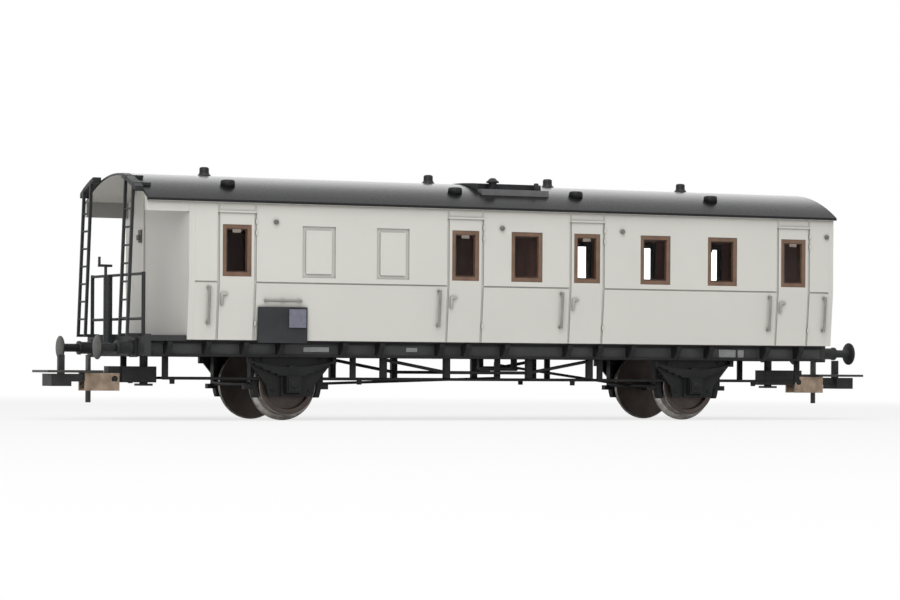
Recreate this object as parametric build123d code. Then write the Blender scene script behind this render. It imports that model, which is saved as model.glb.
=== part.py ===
from build123d import *
import os

# Model railway workshop car, 1:87: a two axle coach body with one open brake platform.
# Millimetres. +X runs along the car to the closed end, the near side is -Y, +Z is up.
# Heights are given above the rail top and lifted by the flange depth, because the
# car stands on its wheel flanges with z = 0 at the floor.

# Wheels and axles
FLANGE_DEPTH = 1.0
FLANGE_W = 0.75
TREAD_R = 5.5
TYRE_INNER_R = 4.5
TYRE_WIDTH = 2.8
BACK_TO_BACK = 14.4
DISC_T = 1.9
HUB_R = 2.1
AXLE_R = 1.0
AXLE_TIP_SPAN = 24.6
JOURNAL_R = 0.45
WHEELBASE = 83.3
BEARING_CLEARANCE = 0.15
END_FLOAT = 0.25

# Underframe
BODY_LENGTH = 133.3
PLATFORM_DEPTH = 7.8
CLOSED_END_GAP = 0.7
SOLE_BOTTOM = 10.4
FLOOR_TOP = 14.1
FLOOR_T = 1.0
FLOOR_SIDE_GAP = 0.05
PLATFORM_SIDE_INSET = 1.2
SOLE_FACE_Y = 12.4
SOLE_WEB_T = 0.7
SOLE_FLANGE_OUT = 0.9
SOLE_FLANGE_T = 0.45
CONSOLE_OUT = 2.5
CONSOLE_T = 1.0
CONSOLE_FOOT = 0.8
HEADSTOCK_T = 1.2
HEADSTOCK_TOP = 14.3
CLOSED_HEADSTOCK_HALF_WIDTH = 12.4

# Consoles: distances in from either headstock's face, and from the middle of the car
CONSOLES_FROM_PLATFORM = [4.9, 12.2, 19.4, 26.3, 38.6, 45.9]
CONSOLES_FROM_MIDDLE = [-13.0, -7.6, 0.4, 13.5]
CONSOLES_FROM_CLOSED_END = [6.9, 14.4, 26.9, 34.0, 43.9, 50.9]

# Axle guards with leaf springs
GUARD_INNER_Y = 11.0
GUARD_T = 0.5
GUARD_TOP_HALF = 8.2
GUARD_EAR = 0.9
GUARD_MID_HALF = 4.8
GUARD_FOOT_HALF = 4.3
GUARD_FOOT_Z = 3.3
HORN_W = 0.5
HORN_T = 0.45
HORN_GAP = 0.15
BOX_HALF_LENGTH = 1.4
BOX_HEIGHT = 3.0
BOX_REACH = 1.7
SPRING_HALF_LENGTH = 8.6
SPRING_CAMBER = 1.3
SPRING_LEAVES = 5
SPRING_LEAF_T = 0.32
SPRING_WIDTH = 0.9
SPRING_BUCKLE_HALF = 0.65
BUCKLE_BELOW_BOX_TOP = 0.75
SHACKLE_W = 0.7

# Brake gear
SHOE_CLEARANCE = 0.35
SHOE_T = 0.9
SHOE_WIDTH = 1.5
SHOE_DROP = 2.4
SHOE_RISE = 1.3
SHOE_HOLDER_REACH = 1.4
SHOE_HOLDER_H = 0.9
HANGER_W = 0.7
BRAKE_BEAM_R = 0.35
PULL_ROD_R = 0.25
BRAKE_SHAFT_X = 5.6
BRAKE_SHAFT_Z = 8.6
BRAKE_SHAFT_R = 0.45
BRAKE_SHAFT_HALF_LENGTH = 8.0
LEVER_W = 0.9
LEVER_BELOW = 2.3
LEVER_ABOVE = 1.2
PULL_PIN_INSET = 0.5

# Truss and tie rods
TRUSS_CENTRE_X = -2.1
TRUSS_POST_HALF_SPAN = 8.5
TRUSS_END_HALF_SPAN = 21.3
TRUSS_LOW_Z = 7.8
TRUSS_ROD_R = 0.3
TRUSS_POST_W = 1.2
TRUSS_POST_T = 0.9
TRUSS_Y = 11.6
TIE_ROD_Z = 6.5
TIE_ROD_R = 0.25
TIE_ROD_INSET = 4.9
TIE_HANGER_W = 1.1
TIE_HANGERS_FROM_TRUSS = [-27.0, 2.4, 24.0]
HOOKS_FROM_TRUSS = [-25.7, 18.2]
PLATFORM_HOOK_FROM_END = 1.9
CLOSED_HOOK_FROM_END = 10.4
ROD_HOOK_W = 0.8
ROD_HOOK_DROP = 1.0

# Body shell
ROOF_HALF_WIDTH = 17.2
EAVE_OUT = 0.9
TUMBLEHOME = 0.85
WALL_T = 1.1
BODY_BOTTOM = 13.35
WAIST = 23.6
EAVE = 37.6
HEADER_BOTTOM = 35.9
WAIST_GROOVE = 0.28
GROOVE_DEPTH = 0.22
DOOR_WIDTH = 7.0
DOOR_GROOVE = 0.45
DOOR_TOP = 35.9
DRIP_STRIP_H = 0.3
DRIP_STRIP_OUT = 0.3
WINDOW_BOTTOM = 24.6
WINDOW_TOP = 33.8
WINDOW_WIDTH = 6.45
DOOR_WINDOW_WIDTH = 5.5
FRAME_SIDE = 0.75
FRAME_SET_IN = 0.1
PANE_T = 0.4
BLIND_BORDER = 0.7
BLIND_DEPTH = 0.3
INNER_DOOR_OFFSET = 12.6
OUTER_DOOR_INSET = 9.05
OUTER_DOOR_RAIL_ROOM = 1.2
CUT_OVER = 1.0

# Side fittings
HANDRAIL_OFFSET = 5.4
HANDRAIL_BOTTOM = 16.1
HANDRAIL_TOP = 22.8
HANDRAIL_R = 0.22
HANDRAIL_STAND_OFF = 0.75
CORNER_HANDRAIL_INSET = 1.0
DOOR_HANDLE_OFFSET = 2.85
DOOR_HANDLE_TOP = 21.7
DOOR_HANDLE_DROP = 2.2
DOOR_HANDLE_LEVER = 1.1
DOOR_HANDLE_SECTION = 0.4
DOOR_STOP_OFFSET = 7.4
DOOR_STOP_Z = 34.4
DOOR_STOP_R = 0.4
DOOR_STOP_OUT = 0.45
BOARD_LENGTH = 9.4
BOARD_FROM_DOOR = 8.85
BOARD_BOTTOM = 12.9
BOARD_TOP = 19.3
BOARD_FACE_OUT = 0.45
HOLDER_SIZE = 3.3
HOLDER_OFFSET = 2.7
HOLDER_CENTRE_Z = 17.3
HOLDER_T = 0.25
BOARD_RAIL_Z = 20.4
BOARD_RAIL_LENGTH = 6.6

# Roof
ROOF_OVERHANG = 0.2
ROOF_LIP = 0.5
ROOF_RISE = 5.1
ROOF_T = 0.5
PANEL_LENGTH = 13.9
PANEL_OFFSET = -0.5
PLINTH_EAVE_INSET = 4.7
LEDGE_W = 1.9
LEDGE_RISE = 0.43
PANEL_END_STEP = 0.7
PANEL_OVER_CROWN = 0.15
PANEL_FALL = 0.45
POT_OFFSET = -4.35
POT_STEM_R = 0.75
POT_BRIM_R = 1.2
POT_TOP_R = 0.5
POT_STEM_H = 1.2
POT_BRIM_H = 0.25
POT_TOP_H = 0.65
NUB_OFFSET = 4.75
NUB_R = 0.45
NUB_H = 1.4
VENT_EAVE_INSET = 5.6
VENT_SEAT = 1.0
RIDGE_VENT_FOOT_R = 1.25
RIDGE_VENT_R = 0.88
RIDGE_VENT_TOP_R = 0.6
RIDGE_VENT_FOOT_H = 0.12
RIDGE_VENT_NECK_H = 0.55
RIDGE_VENT_RIM_H = 1.5
RIDGE_VENT_H = 1.65
SIDE_VENT_R = 1.3
SIDE_VENT_TOP_R = 1.05
SIDE_VENT_RIM_H = 0.75
SIDE_VENT_H = 0.95
TURNED_SIDES = 10

# Inside
PARTITION_OFFSET = 6.3
PARTITION_T = 0.8
PARTITION_TOP = 36.0
INSERT_T = 0.8
INSERT_SIDE_GAP = 0.9
INSERT_END_GAP = 1.55
WEIGHT_T = 1.2
WEIGHT_LENGTH = 96.0
WEIGHT_SIDE_GAP = 2.4

# Buffers
BUFFER_LENGTH = 7.3
BUFFER_Y = 10.05
BUFFER_Z = 11.9
BUFFER_HEAD_R = 2.15
BUFFER_HEAD_T = 0.6
BUFFER_SHANK_R = 0.75
BUFFER_SLEEVE_R = 1.25
BUFFER_SLEEVE_LENGTH = 3.6
BUFFER_BASE = 3.4
BUFFER_BASE_T = 0.5
SLEEVE_SIDES = 16

# Couplings: places along the car are given from the headstock's face, outwards
COUPLER_PIVOT_OUT = -5.4
COUPLER_PIVOT_R = 0.75
PIVOT_FOOT = 2.6
PIVOT_FOOT_T = 0.4
COUPLER_CLEARANCE = 0.2
DRAWBAR_START_OUT = -7.2
DRAWBAR_END_OUT = -0.7
DRAWBAR_BOTTOM = 5.7
DRAWBAR_TOP = 8.6
DRAWBAR_HALF_WIDTH = 1.9
NECK_END_OUT = 1.7
SHANK_BOTTOM = 5.8
SHANK_TOP = 7.2
SHANK_HALF_WIDTH = 1.2
HEAD_BACK_OUT = 9.1
HEAD_FRONT_OUT = 12.8
HEAD_HALF_WIDTH = 2.6
HEAD_BOTTOM = 5.0
HOOK_OUT = 10.2
HOOK_TOP = 10.6
HOOK_T = 1.1
HOOK_HALF_WIDTH = 0.5
LOOP_PIVOT_OUT = 0.7
LOOP_PIVOT_Z = 6.3
LOOP_PIVOT_R = 0.45
LOOP_CHEEK_T = 0.4
LOOP_CHEEK_BACK = 0.9
LOOP_CHEEK_END_OUT = 6.3
LOOP_CHEEK_BOTTOM = 4.2
LOOP_PLATE_OUT = 3.7
LOOP_PLATE_BOTTOM = 7.4
LOOP_T = 0.45
LOOP_FRONT_OUT = 14.1
LOOP_HALF_WIDTH = 4.4
LOOP_BAR = 0.8
LOOP_TAB_TOP = 10.6
LOOP_TAB_T = 0.6
LIFT_PIN_INSET = 1.2
LIFT_PIN_R = 0.45
LIFT_PIN_BOTTOM = 2.1

# Platform fittings: places along the car are given from the headstock's face
RAILING_INSET = 0.35
RAILING_POST_INSET = 1.7
RAILING_TOP = 24.9
RAILING_MID = 17.0
RAILING_POST_R = 0.32
RAILING_BAR_R = 0.25
LADDER_FOOT_OUT = 2.5
LADDER_HEAD_OUT = 1.5
LADDER_FOOT_Z = 13.9
LADDER_EAVE_INSET = 4.2
LADDER_WIDTH = 3.9
LADDER_RAIL = 0.5
LADDER_RUNG = 0.35
LADDER_RUNG_PITCH = 3.2
LADDER_FIRST_RUNG = 17.1
LADDER_TOP_ROOM = 1.0
LADDER_HOOK_LENGTH = 1.9
LADDER_PLATE_OVER = 0.5
LADDER_PLATE_UNDER = 0.3
LADDER_PLATE_MARGIN = 1.6
COLUMN_OUT = 1.1
COLUMN_Y = 1.0
COLUMN_R = 0.75
COLUMN_BOTTOM = 12.6
COLUMN_TOP = 24.9
SPINDLE_SHIFT = 0.45
SPINDLE_R = 0.25
CRANK_Z = 26.6
CRANK_ARM = 1.2
CRANK_COUNTER = 1.2
CRANK_GRIP = 1.6
CRANK_SECTION = 0.45

# Thin bars are eight sided, as moulded in fine work
BAR_SIDES = 8

RAIL = FLANGE_DEPTH
AXLE_Z = RAIL + TREAD_R
HEADSTOCK_FACE_X = (BODY_LENGTH + PLATFORM_DEPTH + CLOSED_END_GAP) / 2
BODY_RIGHT_X = HEADSTOCK_FACE_X - CLOSED_END_GAP
BODY_LEFT_X = BODY_RIGHT_X - BODY_LENGTH
BODY_CENTRE_X = (BODY_LEFT_X + BODY_RIGHT_X) / 2
ROOF_LEFT_X = -HEADSTOCK_FACE_X - ROOF_OVERHANG
ROOF_RIGHT_X = BODY_RIGHT_X + ROOF_OVERHANG
BODY_HALF_WIDTH = ROOF_HALF_WIDTH - EAVE_OUT
PLATFORM_HALF_WIDTH = BODY_HALF_WIDTH - PLATFORM_SIDE_INSET
FLOOR_HALF_WIDTH = BODY_HALF_WIDTH - TUMBLEHOME - WALL_T - FLOOR_SIDE_GAP
INSERT_HALF_WIDTH = FLOOR_HALF_WIDTH - INSERT_SIDE_GAP
WEIGHT_HALF_WIDTH = INSERT_HALF_WIDTH - WEIGHT_SIDE_GAP
RAILING_POST_Y = PLATFORM_HALF_WIDTH - RAILING_POST_INSET
LADDER_OUTER_Y = ROOF_HALF_WIDTH - LADDER_EAVE_INSET
LADDER_INNER_Y = LADDER_OUTER_Y - LADDER_WIDTH
PLINTH_HALF_WIDTH = ROOF_HALF_WIDTH - PLINTH_EAVE_INSET
PANEL_HALF_WIDTH = PLINTH_HALF_WIDTH - LEDGE_W
VENT_SIDE_Y = ROOF_HALF_WIDTH - VENT_EAVE_INSET
OUTER_DOOR_OFFSET = BODY_LENGTH / 2 - OUTER_DOOR_INSET
WINDOW_PITCH = (OUTER_DOOR_OFFSET - OUTER_DOOR_RAIL_ROOM - INNER_DOOR_OFFSET) / 3
INNER_WINDOW_OFFSET = INNER_DOOR_OFFSET + WINDOW_PITCH
OUTER_WINDOW_OFFSET = INNER_WINDOW_OFFSET + WINDOW_PITCH
SIDES = {"near": -1, "far": 1}
ENDS = {"left": -1, "right": 1}
FROM_FOOT = (Align.CENTER, Align.CENTER, Align.MIN)
parts = {}


def block(x0, x1, y0, y1, z0, z1):
    """Rectangular block between two corners, in any order, at heights above the rail."""
    size = Box(abs(x1 - x0), abs(y1 - y0), abs(z1 - z0))
    return Pos((x0 + x1) / 2, (y0 + y1) / 2, RAIL + (z0 + z1) / 2) * size


def line_plane(start, end):
    """Plane at the start of a line between two points at heights above the rail, facing its end."""
    way = Vector(*end) - Vector(*start)
    return Plane(origin=(start[0], start[1], start[2] + RAIL), z_dir=way), way.length


def rod(start, end, radius):
    """Round bar between two points at heights above the rail."""
    plane, length = line_plane(start, end)
    return plane * Cylinder(radius, length, align=FROM_FOOT)


def bar(start, end, radius, sides=BAR_SIDES):
    """Flat sided bar between two points at heights above the rail."""
    plane, length = line_plane(start, end)
    section = RegularPolygon(radius, sides, major_radius=False, rotation=180 / sides)
    return plane * extrude(section, length)


def turned(levels):
    """Upright many sided body from rows of radius and height; equal heights make a step."""
    body = None
    for (low_r, low_z), (high_r, high_z) in zip(levels, levels[1:]):
        if high_z > low_z:
            low_end = Pos(0, 0, low_z) * RegularPolygon(low_r, TURNED_SIDES)
            high_end = Pos(0, 0, high_z) * RegularPolygon(high_r, TURNED_SIDES)
            stage = loft([low_end, high_end], ruled=True)
            body = stage if body is None else body + stage
    return body


def section_along_x(points, x0, x1):
    """Prism along X from a closed outline of (y, height above the rail) points."""
    outline = Polygon(*[(y, RAIL + z) for y, z in points], align=None)
    return along_x(outline, x0, x1)


def along_x(sketch, x0, x1):
    return Pos(x0, 0, 0) * extrude(Plane.YZ * sketch, x1 - x0, dir=(1, 0, 0))


def along_y(sketch, y0, y1):
    low, high = sorted((y0, y1))
    return Pos(0, low, 0) * extrude(Plane.XZ * sketch, high - low, dir=(0, 1, 0))


def flat(x0, x1, z0, z1):
    """Rectangle in an upright plane, at heights above the rail."""
    return Pos((x0 + x1) / 2, RAIL + (z0 + z1) / 2) * Rectangle(x1 - x0, z1 - z0)


# Wheelsets: two disc wheels pressed on one axle that runs on its thin ends
wheel_back = BACK_TO_BACK / 2
wheel_face = wheel_back + TYRE_WIDTH
flange_r = TREAD_R + FLANGE_DEPTH
axle_tip = AXLE_TIP_SPAN / 2
wheel_profile = [
    (AXLE_R, wheel_back),
    (flange_r, wheel_back),
    (flange_r, wheel_back + FLANGE_W),
    (TREAD_R, wheel_back + FLANGE_W),
    (TREAD_R, wheel_face),
    (TYRE_INNER_R, wheel_face),
    (TYRE_INNER_R, wheel_back + DISC_T),
    (HUB_R, wheel_back + DISC_T),
    (HUB_R, wheel_face),
    (AXLE_R, wheel_face),
]
far_wheel = revolve(Polygon(*wheel_profile, align=None), Axis.Y)
near_wheel = mirror(far_wheel, Plane.XZ)
axle = rod((0, -wheel_face, TREAD_R), (0, wheel_face, TREAD_R), AXLE_R)
for way in (-1, 1):
    axle += rod((0, way * wheel_face, TREAD_R), (0, way * axle_tip, TREAD_R), JOURNAL_R)
for end, way in ENDS.items():
    axle_x = way * WHEELBASE / 2
    place = Pos(axle_x, 0, AXLE_Z)
    parts[f"wheels_{end}"] = Compound(children=[place * near_wheel, place * far_wheel])
    parts[f"axle_{end}"] = Pos(axle_x, 0, 0) * axle

# Floor: a plate inside the walls, widened under the platform
floor_bottom = FLOOR_TOP - FLOOR_T
parts["floor"] = block(
    BODY_LEFT_X, BODY_RIGHT_X - WALL_T, -FLOOR_HALF_WIDTH, FLOOR_HALF_WIDTH, floor_bottom, FLOOR_TOP
) + block(
    HEADSTOCK_T - HEADSTOCK_FACE_X, BODY_LEFT_X, -PLATFORM_HALF_WIDTH, PLATFORM_HALF_WIDTH,
    floor_bottom, FLOOR_TOP,
)

# Sole bars: outward channels with tapered consoles that reach out under the walls
sole_half_length = HEADSTOCK_FACE_X - HEADSTOCK_T
console_places = [distance - HEADSTOCK_FACE_X for distance in CONSOLES_FROM_PLATFORM]
console_places += CONSOLES_FROM_MIDDLE
console_places += [HEADSTOCK_FACE_X - distance for distance in CONSOLES_FROM_CLOSED_END]
for side, way in SIDES.items():
    web_back = way * (SOLE_FACE_Y - SOLE_WEB_T)
    web_face = way * SOLE_FACE_Y
    lip = way * (SOLE_FACE_Y + SOLE_FLANGE_OUT)
    console_tip = way * (SOLE_FACE_Y + CONSOLE_OUT)
    channel = [
        (web_back, SOLE_BOTTOM),
        (lip, SOLE_BOTTOM),
        (lip, SOLE_BOTTOM + SOLE_FLANGE_T),
        (web_face, SOLE_BOTTOM + SOLE_FLANGE_T),
        (web_face, floor_bottom - SOLE_FLANGE_T),
        (lip, floor_bottom - SOLE_FLANGE_T),
        (lip, floor_bottom),
        (web_back, floor_bottom),
    ]
    sole_bar = section_along_x(channel, -sole_half_length, sole_half_length)
    console = [
        (web_face, SOLE_BOTTOM),
        (lip, SOLE_BOTTOM),
        (console_tip, floor_bottom - CONSOLE_FOOT),
        (console_tip, floor_bottom),
        (web_face, floor_bottom),
    ]
    for x in console_places:
        sole_bar += section_along_x(console, x - CONSOLE_T / 2, x + CONSOLE_T / 2)
    parts[f"sole_bar_{side}"] = sole_bar

# Headstocks: the cross beams that carry the buffers
parts["headstock_platform"] = block(
    -HEADSTOCK_FACE_X, HEADSTOCK_T - HEADSTOCK_FACE_X, -PLATFORM_HALF_WIDTH, PLATFORM_HALF_WIDTH,
    SOLE_BOTTOM, HEADSTOCK_TOP,
)
parts["headstock_closed"] = block(
    HEADSTOCK_FACE_X - HEADSTOCK_T, HEADSTOCK_FACE_X,
    -CLOSED_HEADSTOCK_HALF_WIDTH, CLOSED_HEADSTOCK_HALF_WIDTH, SOLE_BOTTOM, floor_bottom,
)

# Axle guards: a shaped plate, horns round an axle box, and a leaf spring on shackles above the box
box_top = TREAD_R + BOX_HEIGHT / 2
box_bottom = TREAD_R - BOX_HEIGHT / 2
spring_seat = box_top + SPRING_LEAVES * SPRING_LEAF_T
spring_tip = spring_seat + SPRING_CAMBER


def guard_outline():
    edge = [
        (GUARD_FOOT_HALF, GUARD_FOOT_Z),
        (GUARD_MID_HALF, TREAD_R),
        (GUARD_TOP_HALF, SOLE_BOTTOM - GUARD_EAR),
        (GUARD_TOP_HALF, SOLE_BOTTOM),
    ]
    other_edge = [(-x, z) for x, z in reversed(edge)]
    return Polygon(*[(x, RAIL + z) for x, z in edge + other_edge], align=None)


def horn_outline():
    inner = BOX_HALF_LENGTH + HORN_GAP
    outer = inner + HORN_W
    return flat(-outer, outer, GUARD_FOOT_Z, box_top) - flat(-inner, inner, GUARD_FOOT_Z + HORN_W, box_top)


def spring_outline():
    radius = (SPRING_HALF_LENGTH**2 + SPRING_CAMBER**2) / (2 * SPRING_CAMBER)
    centre = Pos(0, RAIL + spring_seat + radius)
    buckle = SPRING_BUCKLE_HALF
    stack = flat(-buckle, buckle, box_top - BUCKLE_BELOW_BOX_TOP, spring_seat + SPRING_LEAF_T)
    for leaf in range(SPRING_LEAVES):
        half = SPRING_HALF_LENGTH * (1 - leaf / (SPRING_LEAVES + 1))
        ring = Circle(radius + (leaf + 1) * SPRING_LEAF_T) - Circle(radius)
        below = Pos(0, -radius) * Rectangle(2 * half, 4 * SPRING_CAMBER)
        stack += centre * (ring & below)
    for hand in (-1, 1):
        tip = hand * (SPRING_HALF_LENGTH - SHACKLE_W / 2)
        stack += flat(tip - SHACKLE_W / 2, tip + SHACKLE_W / 2, spring_tip - SHACKLE_W, SOLE_BOTTOM)
    return stack


def bearing_cup():
    """Round hollow for the thin end of the axle."""
    bottom = axle_tip + END_FLOAT
    return rod((0, GUARD_INNER_Y, TREAD_R), (0, bottom, TREAD_R), JOURNAL_R + BEARING_CLEARANCE)


def axle_guard():
    plate_face = GUARD_INNER_Y + GUARD_T
    moulding = along_y(guard_outline(), GUARD_INNER_Y, plate_face)
    moulding += along_y(horn_outline(), plate_face, plate_face + HORN_T)
    moulding += along_y(spring_outline(), plate_face, plate_face + SPRING_WIDTH)
    moulding += block(
        -BOX_HALF_LENGTH, BOX_HALF_LENGTH, GUARD_INNER_Y, plate_face + BOX_REACH, box_bottom, box_top
    )
    return moulding - bearing_cup()


far_guard = axle_guard()
guards = {"near": mirror(far_guard, Plane.XZ), "far": far_guard}
for end, way in ENDS.items():
    for side, guard in guards.items():
        parts[f"axle_guard_{end}_{side}"] = Pos(way * WHEELBASE / 2, 0, 0) * guard

# Brake gear: a shoe on a hanger either side of every wheel, with a cross beam to each pair
shoe_r = TREAD_R + SHOE_CLEARANCE
hanger_reach = shoe_r + SHOE_T
beam_reach = hanger_reach + HANGER_W / 2


def brake_gear():
    shoe_inner_y = wheel_back + FLANGE_W + SHOE_CLEARANCE
    shoe_outer_y = shoe_inner_y + SHOE_WIDTH
    beam_half = (shoe_inner_y + shoe_outer_y) / 2
    ring = Pos(0, AXLE_Z) * (Circle(shoe_r + SHOE_T) - Circle(shoe_r))
    gear = None
    for hand in (-1, 1):
        reach = sorted((0, hand * (hanger_reach + SHOE_HOLDER_REACH)))
        shoe = ring & flat(*reach, TREAD_R - SHOE_DROP, TREAD_R + SHOE_RISE)
        x = hand * hanger_reach
        shoe += flat(x - HANGER_W / 2, x + HANGER_W / 2, TREAD_R, floor_bottom)
        holder = sorted((x, hand * (hanger_reach + SHOE_HOLDER_REACH)))
        shoe += flat(*holder, TREAD_R - SHOE_HOLDER_H, TREAD_R)
        for way in (-1, 1):
            solid = along_y(shoe, way * shoe_inner_y, way * shoe_outer_y)
            gear = solid if gear is None else gear + solid
        beam_x = hand * beam_reach
        gear += bar((beam_x, -beam_half, TREAD_R), (beam_x, beam_half, TREAD_R), BRAKE_BEAM_R)
    return gear


for end, way in ENDS.items():
    parts[f"brake_gear_{end}"] = Pos(way * WHEELBASE / 2, 0, 0) * brake_gear()

# Brake shaft: a cross shaft on two hangers, with a lever and a pull rod to each axle
lever_left = BRAKE_SHAFT_X - LEVER_W / 2
lever_right = BRAKE_SHAFT_X + LEVER_W / 2
lever_bottom = BRAKE_SHAFT_Z - LEVER_BELOW
lever_top = BRAKE_SHAFT_Z + LEVER_ABOVE
shaft = bar(
    (BRAKE_SHAFT_X, -BRAKE_SHAFT_HALF_LENGTH, BRAKE_SHAFT_Z),
    (BRAKE_SHAFT_X, BRAKE_SHAFT_HALF_LENGTH, BRAKE_SHAFT_Z), BRAKE_SHAFT_R,
)
for way in (-1, 1):
    hanger_y = way * (BRAKE_SHAFT_HALF_LENGTH - LEVER_W)
    shaft += block(
        lever_left, lever_right, hanger_y - LEVER_W / 2, hanger_y + LEVER_W / 2, BRAKE_SHAFT_Z, floor_bottom
    )
shaft += block(lever_left, lever_right, -LEVER_W / 2, LEVER_W / 2, lever_bottom, lever_top)
for way, pin_z in ((-1, lever_bottom + PULL_PIN_INSET), (1, lever_top - PULL_PIN_INSET)):
    rod_end = way * (WHEELBASE / 2 - beam_reach - BRAKE_BEAM_R)
    shaft += bar((BRAKE_SHAFT_X, 0, pin_z), (rod_end, 0, TREAD_R), PULL_ROD_R)
parts["brake_shaft"] = shaft

# Truss rods under each sole bar, and the tie rods along the axle guards with their hangers and hooks
truss_post_places = [TRUSS_CENTRE_X + way * TRUSS_POST_HALF_SPAN for way in (-1, 1)]
truss_end_places = [TRUSS_CENTRE_X + way * TRUSS_END_HALF_SPAN for way in (-1, 1)]
tie_half_length = HEADSTOCK_FACE_X - TIE_ROD_INSET
tie_hangers = [way * (tie_half_length - TIE_HANGER_W / 2) for way in (-1, 1)]
tie_hangers += [TRUSS_CENTRE_X + offset for offset in TIE_HANGERS_FROM_TRUSS]
rod_hooks = [TRUSS_CENTRE_X + offset for offset in HOOKS_FROM_TRUSS]
rod_hooks += [PLATFORM_HOOK_FROM_END - tie_half_length, tie_half_length - CLOSED_HOOK_FROM_END]
for side, way in SIDES.items():
    y = way * TRUSS_Y
    rod_head = SOLE_BOTTOM - TRUSS_ROD_R
    stations = [(truss_end_places[0], rod_head), (truss_post_places[0], TRUSS_LOW_Z)]
    stations += [(truss_post_places[1], TRUSS_LOW_Z), (truss_end_places[1], rod_head)]
    truss = None
    for (x0, z0), (x1, z1) in zip(stations, stations[1:]):
        run = bar((x0, y, z0), (x1, y, z1), TRUSS_ROD_R)
        truss = run if truss is None else truss + run
    for x in truss_post_places + truss_end_places:
        truss += block(
            x - TRUSS_POST_W / 2, x + TRUSS_POST_W / 2, y - TRUSS_POST_T / 2, y + TRUSS_POST_T / 2,
            TIE_ROD_Z + TIE_ROD_R, SOLE_BOTTOM,
        )
    parts[f"truss_{side}"] = truss

    y = way * (GUARD_INNER_Y - TIE_ROD_R)
    tie = bar((-tie_half_length, y, TIE_ROD_Z), (tie_half_length, y, TIE_ROD_Z), TIE_ROD_R)
    for x in tie_hangers:
        tie += block(
            x - TIE_HANGER_W / 2, x + TIE_HANGER_W / 2, y - TIE_ROD_R, y + TIE_ROD_R, TIE_ROD_Z, floor_bottom
        )
    for x in rod_hooks:
        tie += block(
            x - ROD_HOOK_W / 2, x + ROD_HOOK_W / 2, y - TIE_ROD_R, y + TIE_ROD_R,
            TIE_ROD_Z - ROD_HOOK_DROP, TIE_ROD_Z,
        )
    parts[f"tie_rod_{side}"] = tie

# Roof arch: its outer face and the faces parallel to it
arch_r = (ROOF_HALF_WIDTH**2 + ROOF_RISE**2) / (2 * ROOF_RISE)
crown = EAVE + ROOF_LIP + ROOF_RISE
arch_centre = crown - arch_r


def arch_z(y, layer=0.0):
    """Height of the roof's outer face, or of a face parallel to it, at a distance from the middle."""
    return arch_centre + ((arch_r + layer) ** 2 - y**2) ** 0.5


def arch_disc(layer):
    return Pos(0, RAIL + arch_centre) * Circle(arch_r + layer)


# Side walls: upright above the waist, leaning in below it, with windows and door grooves
wall_inner_y = BODY_HALF_WIDTH - WALL_T


def wall_y(z):
    """Distance of the outer wall face from the middle of the car at a height."""
    return BODY_HALF_WIDTH - TUMBLEHOME * max(0.0, WAIST - z) / (WAIST - BODY_BOTTOM)


def skin(way, outside, inside, z0, z1):
    """Outline of a layer along the outer wall face, reaching outside and inside of it."""
    heights = [z0] + [z for z in (WAIST,) if z0 < z < z1] + [z1]
    outer = [(way * (wall_y(z) + outside), z) for z in heights]
    inner = [(way * (wall_y(z) - inside), z) for z in reversed(heights)]
    return outer + inner


def top_strip(way, bottom):
    """Outline of the wall's upper strip, whose top follows the underside of the roof."""
    return [
        (way * BODY_HALF_WIDTH, bottom),
        (way * BODY_HALF_WIDTH, arch_z(BODY_HALF_WIDTH, -ROOF_T)),
        (way * wall_inner_y, arch_z(wall_inner_y, -ROOF_T)),
        (way * wall_inner_y, bottom),
    ]


DOORS = [way * offset for offset in (OUTER_DOOR_OFFSET, INNER_DOOR_OFFSET) for way in (-1, 1)]
WINDOWS = [(x, DOOR_WINDOW_WIDTH) for x in DOORS]
WINDOWS += [(x, WINDOW_WIDTH) for x in (0.0, INNER_WINDOW_OFFSET, OUTER_WINDOW_OFFSET)]
BLINDS = [-INNER_WINDOW_OFFSET, -OUTER_WINDOW_OFFSET]
wall_right_x = BODY_RIGHT_X - WALL_T
wall_left_x = BODY_LEFT_X + WALL_T
plain_walls = {}

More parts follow.
